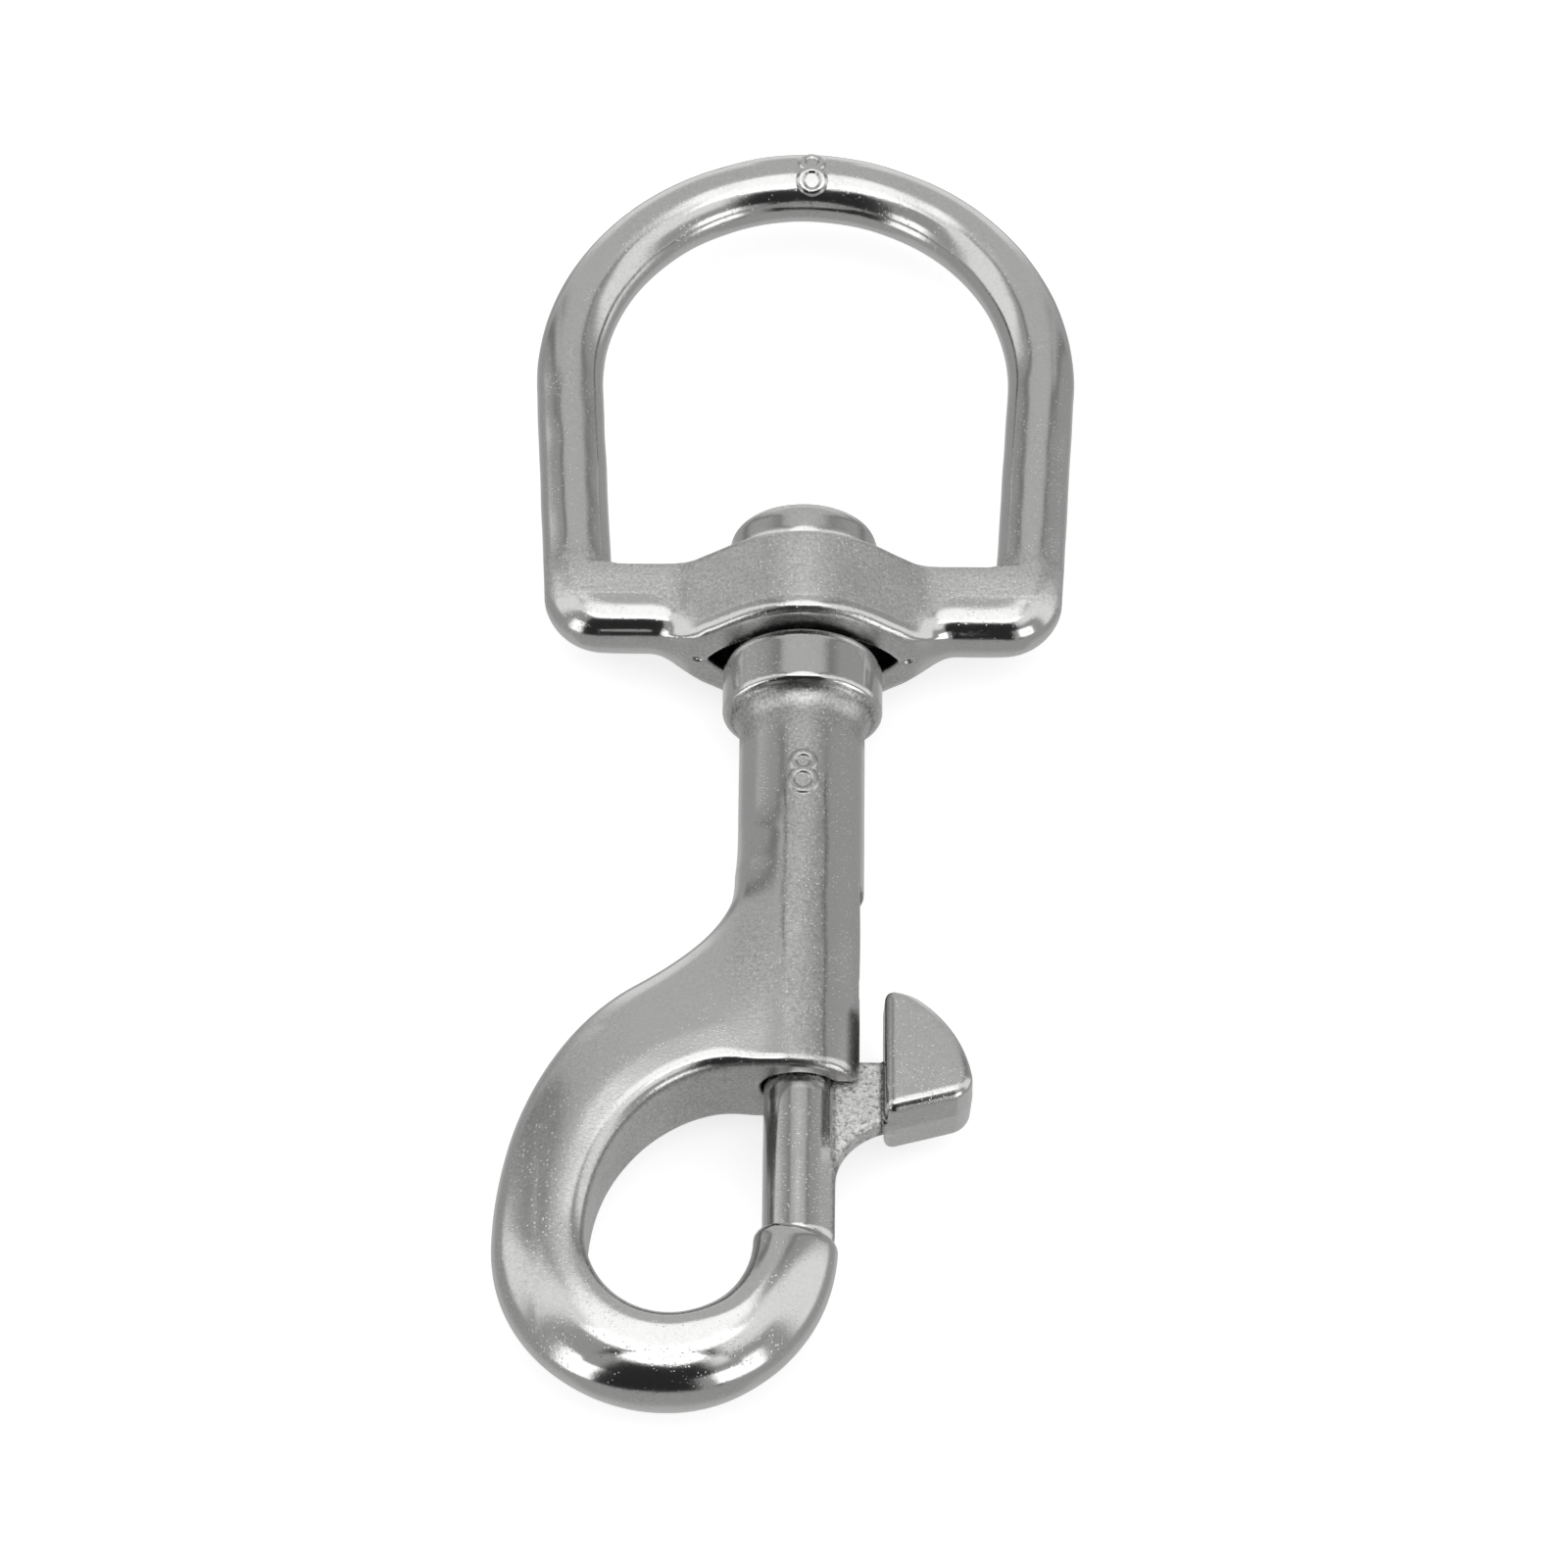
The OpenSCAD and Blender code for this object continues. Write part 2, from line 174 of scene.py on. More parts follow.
@dataclass
class Plan:
    """Signed distance to a closed outline, sampled on a flat grid and read back smoothly.

    Attributes:
        outline: Corner points of the outline, in millimetres.
        pad: How far the grid reaches past the outline.
        pitch: Distance between samples.
        low: Lowest corner of the grid.
        samples: The sampled distances.
    """

    outline: Array
    pad: float = 4.0
    pitch: float = 0.2
    low: Array = field(init=False)
    samples: Array = field(init=False)

    def __post_init__(self) -> None:
        """Samples the distance, negative inside the outline."""
        self.low = self.outline.min(0) - self.pad
        count = np.ceil((self.outline.max(0) + self.pad - self.low) / self.pitch).astype(int) + 1
        gx = self.low[0] + self.pitch * np.arange(count[0])
        gy = self.low[1] + self.pitch * np.arange(count[1])
        start, end = self.outline, np.roll(self.outline, -1, axis=0)
        side = end - start
        length2 = np.maximum((side ** 2).sum(1), 1e-12)
        rows = []
        for x in gx:
            to = np.stack([np.full_like(gy, x), gy], -1)[:, None, :] - start
            along = np.clip((to * side).sum(-1) / length2, 0.0, 1.0)
            gap = to - along[..., None] * side
            crossed = (start[:, 1] > gy[:, None]) != (end[:, 1] > gy[:, None])
            safe = np.where(np.abs(side[:, 1]) < 1e-12, 1e-12, side[:, 1])
            left = x < start[:, 0] + (gy[:, None] - start[:, 1]) * side[:, 0] / safe
            inside = (crossed & left).sum(1) % 2 == 1
            rows.append(np.sqrt((gap ** 2).sum(-1).min(1)) * np.where(inside, -1.0, 1.0))
        self.samples = np.array(rows)

    def at(self, x: Array, y: Array) -> Array:
        """Reads the distance at points, between its samples by a smooth cubic.

        Args:
            x: First coordinates.
            y: Second coordinates, of a shape that goes with them.

        Returns:
            The signed distances.
        """
        u = np.clip((x - self.low[0]) / self.pitch, 1.0, self.samples.shape[0] - 2.001)
        v = np.clip((y - self.low[1]) / self.pitch, 1.0, self.samples.shape[1] - 2.001)
        i, j = u.astype(int), v.astype(int)
        wu, wv = self._weights(u - i), self._weights(v - j)
        total = 0.0
        for a in range(4):
            for b in range(4):
                total = total + wu[a] * wv[b] * self.samples[i + a - 1, j + b - 1]
        return total

    @staticmethod
    def _weights(t: Array) -> list[Array]:
        """Weights of the four samples around a place between the middle two."""
        t2, t3 = t * t, t * t * t
        return [0.5 * (-t3 + 2 * t2 - t), 0.5 * (3 * t3 - 5 * t2 + 2),
                0.5 * (-3 * t3 + 4 * t2 + t), 0.5 * (t3 - t2)]


@dataclass(frozen=True)
class Numeral:
    """Raised figure 8, a plain casting number made of two rings.

    Attributes:
        width: Width of the figure.
        height: Height of the figure.
        stroke: Width of its line.
        relief: Height of its line above the metal.
        waist: Place of its crossing above the middle, as a share of the height.
        top_share: Width of the upper ring, as a share of the lower one's.
        ridge: Half the width of the line's flat top, in strokes.
        foot: Half the width of the line at the metal, in strokes.
    """

    width: float
    height: float
    stroke: float
    relief: float
    waist: float = 0.04
    top_share: float = 0.86
    ridge: float = 0.22
    foot: float = 0.75

    def lift(self, across: Array, up: Array) -> Array:
        """Height of the figure above the metal at places measured from its middle."""
        middle = self.height * self.waist
        rise = []
        for top in (1, -1):
            half_h = (self.height / 2 - top * middle - self.stroke / 2) / 2
            half_w = (self.width - self.stroke) / 2 * (self.top_share if top == 1 else 1.0)
            place = middle + top * half_h
            k = np.hypot(across / half_w, (up - place) / half_h)
            rise.append(np.abs(k - 1.0) * min(half_w, half_h))
        off = np.minimum(*rise)
        return self.relief * (1.0 - ease(off, self.stroke * self.ridge, self.stroke * self.foot))


@dataclass(frozen=True)
class HandFinish:
    """Slight waviness that polishing by hand leaves in a casting.

    Attributes:
        depth: Height of the waves.
        length: Typical length of a wave.
        seed: Seed of the directions of the waves.
        count: Number of waves that are laid over each other.
        spread: Shortest and longest wave, as shares of the typical length.
        usual: Height that the sum of the waves usually reaches.
    """

    depth: float
    length: float
    seed: int
    count: int = 6
    spread: tuple[float, float] = (0.7, 1.6)
    usual: float = 2.4

    def wave(self, x: Array, y: Array, z: Array) -> Array:
        """Height of the waves at points."""
        rng = np.random.default_rng(self.seed)
        total = 0.0
        for _ in range(self.count):
            way = rng.normal(size=3)
            way = way / np.linalg.norm(way) * 2 * math.pi / (self.length * rng.uniform(*self.spread))
            total = total + np.sin(x * way[0] + y * way[1] + z * way[2] + rng.uniform(0, 2 * math.pi))
        return self.depth * total / self.usual


# Meshing


@dataclass
class Mesher:
    """Turns a field into a smooth closed mesh.

    Attributes:
        shape: The field, in millimetres.
        low: Lowest corner of the block that holds the shape.
        high: Highest corner of that block.
        pitch: Distance between samples.
        slab: Number of sample planes that are worked out at a time.
    """

    shape: Field
    low: Sequence[float]
    high: Sequence[float]
    pitch: float
    slab: int = 24

    def net(self) -> tuple[Array, Array]:
        """Runs surface nets over the block.

        Returns:
            The points and the four-sided faces of the surface, facing outwards.
        """
        low, values = self._sample()
        inside = values < 0.0
        size = np.array(values.shape) - 1
        full = np.zeros(tuple(size), np.int8)
        for a, b, c in CORNERS:
            full += inside[a:size[0] + a, b:size[1] + b, c:size[2] + c]
        cells = np.argwhere((full > 0) & (full < len(CORNERS)))
        index = np.full(full.shape, -1, np.int64)
        index[tuple(cells.T)] = np.arange(len(cells))
        return low + self._middles(values, cells) * self.pitch, self._faces(inside, index)

    def _sample(self) -> tuple[Array, Array]:
        """Samples the field on a grid that reaches a little past the block."""
        low = np.array(self.low) - 2.3 * self.pitch
        count = np.ceil((np.array(self.high) - low) / self.pitch).astype(int) + 4
        gx, gy, gz = (low[a] + self.pitch * np.arange(count[a]) for a in range(3))
        slabs = [self.shape(gx[i:i + self.slab, None, None], gy[None, :, None], gz[None, None, :])
                 for i in range(0, len(gx), self.slab)]
        values = np.concatenate(slabs)
        return low, np.where(values == 0.0, 1e-9, values)

    @staticmethod
    def _middles(values: Array, cells: Array) -> Array:
        """Middles of the places where the surface crosses each cell's edges, in cells."""
        corner = {s: values[tuple((cells + s).T)] for s in CORNERS}
        total, hits = np.zeros((len(cells), 3)), np.zeros(len(cells))
        for start in CORNERS:
            for axis in range(3):
                if start[axis]:
                    continue
                end = tuple(s + (axis == k) for k, s in enumerate(start))
                va, vb = corner[start], corner[end]
                cross = (va < 0.0) != (vb < 0.0)
                place = np.repeat(np.array(start, float)[None], cross.sum(), 0)
                place[:, axis] += va[cross] / (va[cross] - vb[cross])
                total[cross] += place
                hits[cross] += 1
        return cells + total / hits[:, None]

    @staticmethod
    def _faces(inside: Array, index: Array) -> Array:
        """Faces round every grid edge that passes through the surface."""
        faces = []
        for axis in range(3):
            u, v = (axis + 1) % 3, (axis + 2) % 3
            first = np.take(inside, range(inside.shape[axis] - 1), axis)
            last = np.take(inside, range(1, inside.shape[axis]), axis)
            nodes = np.argwhere(first != last)
            outward = first[tuple(nodes.T)]
            ring = []
            for du, dv in ((-1, -1), (0, -1), (0, 0), (-1, 0)):
                cell = nodes.copy()
                cell[:, u] += du
                cell[:, v] += dv
                ring.append(index[tuple(cell.T)])
            quads = np.stack(ring, -1)
            quads[~outward] = quads[~outward][:, ::-1]
            faces.append(quads)
        return np.concatenate(faces)

    def settle(self, points: Array, rounds: int = 2) -> Array:
        """Draws points onto the surface along the slope of the field."""
        step = 0.01
        for _ in range(rounds):
            value = self.shape(*points.T)
            slope = np.stack([(self.shape(*(points + way).T) - value) / step for way in np.eye(3) * step], -1)
            move = slope * (value / np.maximum((slope ** 2).sum(-1), 0.05))[:, None]
            size = np.linalg.norm(move, axis=1, keepdims=True)
            points = points - move * np.minimum(1.0, 0.4 * self.pitch / np.maximum(size, 1e-9))
        return points

    def build(self, name: str, fine_areas: Sequence[Box]) -> bpy.types.Object:
        """Makes the mesh object.

        Args:
            name: Name of the object.
            fine_areas: Boxes, by their two corners, where the mesh is split more finely.

        Returns:
            The object, in metres, at the origin.
        """
        points, faces = self.net()
        points = self.settle(points)
        piece = mesh_object(name, points * MM, faces)
        if fine_areas:
            self._refine(piece, fine_areas)
        return piece

    def _refine(self, piece: bpy.types.Object, areas: Sequence[Box]) -> None:
        """Splits the faces in some boxes and draws the new points onto the surface."""
        bm = bmesh.new()
        bm.from_mesh(piece.data)
        before = len(bm.verts)
        for low, high in areas:
            edges = [e for e in bm.edges if all(
                low[a] < v.co[a] / MM < high[a] for v in e.verts for a in range(3))]
            bmesh.ops.subdivide_edges(bm, edges=edges, cuts=2, use_grid_fill=True)
        bmesh.ops.triangulate(bm, faces=[f for f in bm.faces if len(f.verts) > 4])
        bm.to_mesh(piece.data)
        bm.free()
        points = np.empty(len(piece.data.vertices) * 3)
        piece.data.vertices.foreach_get("co", points)
        points = points.reshape(-1, 3)
        points[before:] = self.settle(points[before:] / MM) * MM
        piece.data.vertices.foreach_set("co", points.ravel())
        piece.data.polygons.foreach_set("use_smooth", [True] * len(piece.data.polygons))
        piece.data.update()


def mesh_object(name: str, points: Array, faces: Array) -> bpy.types.Object:
    """Makes a smooth shaded mesh object from points in metres and four-sided faces."""
    mesh = bpy.data.meshes.new(name)
    mesh.vertices.add(len(points))
    mesh.vertices.foreach_set("co", points.astype(np.float32).ravel())
    mesh.loops.add(faces.size)
    mesh.loops.foreach_set("vertex_index", faces.astype(np.int32).ravel())
    mesh.polygons.add(len(faces))
    mesh.polygons.foreach_set("loop_start", np.arange(0, faces.size, 4, dtype=np.int32))
    mesh.polygons.foreach_set("loop_total", np.full(len(faces), 4, dtype=np.int32))
    mesh.polygons.foreach_set("use_smooth", np.ones(len(faces), dtype=bool))
    mesh.update(calc_edges=True)
    mesh.validate()
    piece = bpy.data.objects.new(name, mesh)
    bpy.context.scene.collection.objects.link(piece)
    return piece


# Finishes


class Tree:
    """Short hand for building a node tree."""

    def __init__(self, tree: bpy.types.NodeTree) -> None:
        """Empties the tree."""
        self.tree = tree
        tree.nodes.clear()

    def add(self, kind: str, inputs: dict | None = None, **settings: object) -> bpy.types.Node:
        """Adds a node.

        Args:
            kind: Type name of the node.
            inputs: Values or output sockets, by the name or number of the input.
            settings: Other settings of the node.

        Returns:
            The node.
        """
        node = self.tree.nodes.new(kind)
        for key, value in settings.items():
            setattr(node, key, value)
        for key, value in (inputs or {}).items():
            if isinstance(value, Socket):
                self.tree.links.new(value, node.inputs[key])
            else:
                node.inputs[key].default_value = value
        return node

    def math(self, operation: str, *values: object) -> Socket:
        """Adds a Math node and returns its result."""
        return self.add("ShaderNodeMath", dict(enumerate(values)), operation=operation).outputs[0]

    def plus(self, a: object, b: object) -> Socket:
        """Adds two values."""
        return self.math("ADD", a, b)

    def minus(self, a: object, b: object) -> Socket:
        """Takes the second value from the first."""
        return self.math("SUBTRACT", a, b)

    def times(self, a: object, b: object) -> Socket:
        """Multiplies two values."""
        return self.math("MULTIPLY", a, b)

    def ramp(self, value: Socket, low: float, high: float, start: float, end: float) -> Socket:
        """Maps a value from one range to another, held at its ends."""
        return self.add("ShaderNodeMapRange", {
            "Value": value, "From Min": low, "From Max": high, "To Min": start, "To Max": end}).outputs[0]

    def blend(self, share: Socket, start: float, end: float) -> Socket:
        """Goes from start to end as a share goes from 0 to 1."""
        return self.ramp(share, 0.0, 1.0, start, end)

    def limit(self, value: Socket) -> Socket:
        """Holds a value between 0 and 1."""
        return self.add("ShaderNodeClamp", {0: value}).outputs[0]

    def noise(self, place: Socket, scale: float, detail: float, rough: float) -> Socket:
        """Adds a noise of a scale in waves per metre."""
        return self.add("ShaderNodeTexNoise", {
            "Vector": place, "Scale": scale, "Detail": detail, "Roughness": rough}).outputs[0]

    def by_camera(self, lit: Socket, seen: Socket) -> Socket:
        """Shows one shader to the camera and another to all other light."""
        path = self.add("ShaderNodeLightPath").outputs["Is Camera Ray"]
        return self.add("ShaderNodeMixShader", {0: path, 1: lit, 2: seen}).outputs[0]


@dataclass(frozen=True)
class SteelFinish:
    """Stainless steel, polished over a cast or turned skin.

    It reads two attributes of the piece: skin, the share of cast skin that polishing left,
    which is as rough as the mould above 1, and soot, the share of darkening, which is soil
    on the rough skin and painted shade in pockets, bores, slots and joins.

    Attributes:
        name: Name of the material.
        tone: Brightness of the metal.
        gloss: Roughness of the polished places.
        dull: Roughness of the cast skin.
        grain: Depth of the fine grain, in metres.
        specks: Height of the bright specks, in metres.
        rough: Depth of the mould's texture, in metres.
        wobble: Depth of the soft unevenness over a few millimetres, in metres.
        hollow_shade: Painted shade that darkens hollow corners.
        cloud_scale: Scale of the clouds of worn skin, in waves per metre as all scales here.
        fine_scale: Scale of the fine grain.
        coarse_scale: Scale of the mould's texture.
        wobble_scale: Scale of the soft unevenness.
        speck_scale: Scale of the specks.
    """

    name: str
    tone: float = 0.635
    gloss: float = 0.11
    dull: float = 0.3
    grain: float = 0.000018
    specks: float = 0.000022
    rough: float = 0.00008
    wobble: float = 0.000006
    hollow_shade: float = 0.6
    cloud_scale: float = 260.0
    fine_scale: float = 3600.0
    coarse_scale: float = 2200.0
    wobble_scale: float = 360.0
    speck_scale: float = 3400.0

    def build(self) -> bpy.types.Material:
        """Makes the material."""
        material = bpy.data.materials.new(self.name)
        material.use_nodes = True
        t = Tree(material.node_tree)
        place = t.add("ShaderNodeTexCoord").outputs["Object"]
        left = t.add("ShaderNodeAttribute", attribute_name="skin").outputs["Fac"]
        soot_and_shade = t.add("ShaderNodeAttribute", attribute_name="soot_and_shade").outputs["Fac"]
        cloud = t.noise(place, self.cloud_scale, 3.0, 0.6)
        fine = t.noise(place, self.fine_scale, 3.0, 0.7)
        coarse = t.noise(place, self.coarse_scale, 3.0, 0.7)
        skin = t.limit(t.plus(left, t.ramp(cloud, 0.35, 0.65, -0.15, 0.15)))
        mould = t.limit(t.minus(left, 1.0))
        speck = self._specks(t, place, cloud)
        # The piece's share of soil and painted shade, broken up by the fine noise.
        dirt_and_shade = t.limit(t.times(soot_and_shade, t.ramp(fine, 0.3, 0.6, 1.6, 0.7)))
        # Painted shade in hollow corners, read from the mesh's pointiness.
        hollow = t.ramp(t.add("ShaderNodeNewGeometry").outputs["Pointiness"], 0.49, 0.44, 0.0, self.hollow_shade)
        change = t.blend(skin, 0.02, 0.22)
        tone = t.plus(t.minus(1.0, change), t.times(change, t.ramp(fine, 0.3, 0.7, 0.0, 2.0)))
        tone = t.times(tone, t.blend(skin, self.tone, self.tone * 0.9))
        tone = t.plus(tone, t.times(speck, t.blend(skin, 0.02, 0.2)))
        tone = t.times(tone, t.blend(mould, 1.0, 1.25))
        pits = t.ramp(t.times(mould, coarse), 0.5, 0.68, 0.0, 0.6)
        # Painted shade in hollows, the mould's pits and the share of soil and painted shade darken the tone.
        for dark in (hollow, pits, t.times(dirt_and_shade, 0.94)):
            tone = t.times(tone, t.minus(1.0, dark))
        colour = t.add("ShaderNodeCombineColor", {
            0: tone, 1: t.times(tone, 0.998), 2: t.times(tone, 0.985)}).outputs[0]
        rough = t.plus(t.blend(skin, self.gloss, self.dull), t.times(t.plus(dirt_and_shade, mould), 0.15))
        height = t.times(fine, t.blend(skin, self.grain * 0.14, self.grain))
        for layer in (t.times(speck, t.blend(skin, self.specks * 0.35, self.specks)),
                      t.times(coarse, t.times(mould, self.rough)),
                      t.times(t.noise(place, self.wobble_scale, 1.0, 0.4), self.wobble)):
            height = t.plus(height, layer)
        bump = t.add("ShaderNodeBump", {"Strength": 1.0, "Distance": 1.0, "Height": height})
        shader = t.add("ShaderNodeBsdfPrincipled", {
            "Base Color": colour, "Metallic": 1.0, "Roughness": t.limit(rough), "Normal": bump.outputs[0]})
        t.add("ShaderNodeOutputMaterial", {"Surface": shader.outputs[0]})
        return material

    def _specks(self, t: Tree, place: Socket, cloud: Socket) -> Socket:
        """Small raised dots that lie closer together in some places than in others."""
        cell = t.add("ShaderNodeTexVoronoi", {
            "Vector": place, "Scale": self.speck_scale, "Randomness": 1.0}).outputs
        dot = t.ramp(cell["Distance"], 0.3, 0.08, 0.0, 1.0)
        lot = t.add("ShaderNodeSeparateColor", {0: cell["Color"]}).outputs[0]
        shown = t.math("LESS_THAN", lot, t.ramp(cloud, 0.4, 0.65, 0.15, 0.8))
        return t.times(dot, shown)


# Pieces


@dataclass
class Piece:
    """What every piece has: a name, a body, a slot and the CAD nodes it stands for."""

    name: str
    body: Body
    slot: Slot
    stands_for: tuple[str, ...]

    def wear_and_shade(self, x: Array, y: Array, z: Array) -> tuple[Array, Array]:
        """Shares of cast skin and of darkening, soil and painted shade, at points of the surface."""
        return 0.0 * x, 0.0 * x

    def place(self, made: bpy.types.Object, finish: bpy.types.Material) -> bpy.types.Object:
        """Gives the finished mesh its skin and its shares of soil and painted shade, its material and its
        body, and hides the CAD nodes it stands for.
        """
        spots = np.empty(len(made.data.vertices) * 3)
        made.data.vertices.foreach_get("co", spots)
        for label, share in zip(("skin", "soot_and_shade"), self.wear_and_shade(*(spots.reshape(-1, 3) / MM).T)):
            layer = made.data.attributes.new(label, "FLOAT", "POINT")
            layer.data.foreach_set("value", share.astype(np.float32))
        made.data.materials.clear()
        made.data.materials.append(finish)
        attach(made, self.body.value)
        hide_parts(*self.stands_for)
        log.info("%s: %d faces on body %s", made.name, len(made.data.polygons), self.body.value)
        return made


@dataclass
class Solid(Piece):
    """A piece that is meshed from its field, inside a block and more finely in some areas."""

    block: Box
    pitch: float
    fine_areas: tuple[Box, ...] = ()

    def shape(self, x: Array, y: Array, z: Array) -> Array:
        """Field of the piece."""
        raise NotImplementedError

    def make(self, finish: bpy.types.Material) -> bpy.types.Object:
        """Meshes the piece and places it."""
        mesher = Mesher(self.shape, *self.block, self.pitch)
        return self.place(mesher.build(self.name, self.fine_areas), finish)


@dataclass
class Eye(Solid):
    """D-shaped webbing eye with its lower bar and its round boss, one casting.

    The bar follows two outlines, the opening and the outer edge. Its inner side is
    rounded by one radius and its outer side is half an oval, so the round bar of the
    top runs into the flat lower bar without a seam.
    """

    name: str = "eye_casting"
    body: Body = Body.EYE
    slot: Slot = Slot.CAST
    stands_for: tuple[str, ...] = ("eye",)
    arc_r: float = 20.9
    bar_r: float = 2.95
    foot_half_w: float = 19.4
    drop: float = 24.15
    foot_h: float = 6.7
    foot_half_t: float = 3.1
    corner_r: float = 5.0
    inner_corner_r: float = 0.8
    inner_edge_r: float = 0.4
    boss_r: float = 8.75
    boss_h: float = 8.0
    boss_base: float = -28.8
    boss_edge_r: float = 0.8
    top_edge_r: float = 0.5
    blend_reach: float = 7.0
    sweep_from: float = 8.4
    sweep_to: float = 13.4
    pocket_half_w: float = 8.2
    pocket_half_t: float = 4.6
    pocket_depth: float = 2.2
    nick_x: float = 9.1
    bore_r: float = 3.26
    block: Box = ((-24.2, -29.2, -9.2), (24.2, 24.4, 9.2))
    pitch: float = 0.232
    fine_areas: tuple[Box, ...] = (((-2.0, 17.0, -1.0), (3.0, 24.6, 4.0)),)
    cut_edge_r: float = 0.25
    nick_r: float = 0.4
    numeral: Numeral = Numeral(2.6, 4.4, 0.55, 0.22)
    figure_x: float = 0.4
    figure_turn: float = 1.62
    waves: HandFinish = HandFinish(0.016, 5.0, 11)

    def __post_init__(self) -> None:
        """Draws the two outlines of the bar."""
        self.lean = math.asin(self.arc_r / math.hypot(self.drop, self.foot_half_w)) - math.atan2(
            self.foot_half_w, self.drop)
        self.foot_top = -self.drop + self.foot_h / 2
        self.foot_base = -self.drop - self.foot_h / 2
        self.boss_top = self.boss_base + self.boss_h
        self.opening = Plan(self._outline(self.arc_r - self.bar_r, self.inner_corner_r, self.foot_top))
        self.outer = Plan(self._outline(self.arc_r + self.bar_r, self.corner_r, self.foot_base))

    def _outline(self, reach: float, corner: float, base: float) -> Array:
        """Outline of a D with a round top, leaning sides and rounded lower corners."""
        lean = math.degrees(self.lean)
        y = base + corner
        x = (reach - corner + y * math.sin(self.lean)) / math.cos(self.lean)
        half = arc_points(x, y, corner, -90, -lean, 24) + arc_points(0, 0, reach, -lean, 90, 90)
        return thicken_path(half + [(-px, py) for px, py in reversed(half[:-1])])

    def shape(self, x: Array, y: Array, z: Array) -> Array:
        """Field of the whole eye."""
        loop = self._bar(x, y, z) - self._figure(x, y, z)
        boss = self._boss(x, y, z)
        foot = boss + (loop - boss) * ease(np.abs(x), self.sweep_from, self.sweep_to)
        body = np.where(y < self.foot_top + 8.0, foot, loop)
        pocket = np.maximum(self._lens(x, z), y - self.boss_base - self.pocket_depth)
        body = round_max(body, -pocket, self.cut_edge_r)
        off_x, off_y = np.abs(x) - self.nick_x, y - self.boss_base - 0.1
        nick = np.sqrt(off_x ** 2 + off_y ** 2 + (z / 0.6) ** 2) - self.nick_r
        body = np.maximum(body, -nick)
        bore = np.maximum(np.hypot(x, z) - self.bore_r, y - self.boss_top - 2.0)
        body = round_max(body, -bore, self.cut_edge_r)
        return body - self.waves.wave(x, y, z)

    def _bar(self, x: Array, y: Array, z: Array) -> Array:
        """Field of the bar that runs round the D, round above and flatter in the lower bar."""
        d_in, d_out = self.opening.at(x, y), -self.outer.at(x, y)
        width = np.maximum(d_in + d_out, 0.5)
        up = ease(y, self.foot_top - 1.4, self.foot_top + 1.6)
        half_t = self.foot_half_t + (self.bar_r - self.foot_half_t) * up
        landed = ease(y, self.foot_top - 0.1, self.foot_top + 0.5)
        edge = self.inner_edge_r + (self.bar_r - 0.02 - self.inner_edge_r) * landed
        return round_max(half_oval(d_in, width, 0.56 - 0.06 * up, z, half_t), -d_in, edge)

    def _figure(self, x: Array, y: Array, z: Array) -> Array:
        """Height of the raised figure, which stands on the round top."""
        turn = np.arctan2(z, np.hypot(x, y) - self.arc_r)
        shown = (y > 0) & (z > 0) & (np.abs(x) < 4)
        return self.numeral.lift(x - self.figure_x, -self.bar_r * (turn - self.figure_turn)) * shown

    def _boss(self, x: Array, y: Array, z: Array) -> Array:
        """Field of the round boss and the hollow sweeps that carry it into the lower bar."""
        plan = smooth_min(np.hypot(x, z) - self.boss_r, np.abs(z) - self.foot_half_t, self.blend_reach)
        low = round_max(plan, self.boss_base - y, self.boss_edge_r)
        return round_max(low, y - self.boss_top, self.top_edge_r)

    def _lens(self, x: Array, z: Array) -> Array:
        """Flat distance to the pocket's lens, which two arcs bound."""
        r = (self.pocket_half_w ** 2 + self.pocket_half_t ** 2) / (2 * self.pocket_half_t)
        off = r - self.pocket_half_t
        return np.maximum(np.hypot(x, z - off), np.hypot(x, z + off)) - r

    def wear_and_shade(self, x: Array, y: Array, z: Array) -> tuple[Array, Array]:
        """Shares of cast skin and of darkening: the lower bar is rougher, the pocket and the bore hold
        painted shade.
        """
        depth = y - self.boss_base
        walls = depth < self.pocket_depth + 0.4
        # The pocket and the bore through the boss are darkened as painted shade, and the seam gets a darker
        # line.
        pocket = ease(-self._lens(x, z), -0.12, 0.1) * ease(depth, 0.1, 0.7) * walls
        bore = fade(np.hypot(x, z) - self.bore_r, 0.14, 0.34) * (y < self.foot_top + 1.0)
        corner = (np.abs(x) > 14.0) * (self.opening.at(x, y) < 2.0)
        seam = hump(y, self.foot_top + 0.2, 0.2) * corner
        edge = self.boss_base + 0.9 + 3.4 * ease(np.abs(x), self.sweep_from, self.sweep_to)
        flat = ease(y, edge, edge + 0.7) * fade(y, self.foot_top + 0.2, self.foot_top + 2.5)
        under = fade(depth, 0.15, 0.5)
        return 0.2 + np.maximum(1.1 * flat, 0.6 * under), np.minimum(pocket + bore + 0.4 * seam, 1.0)


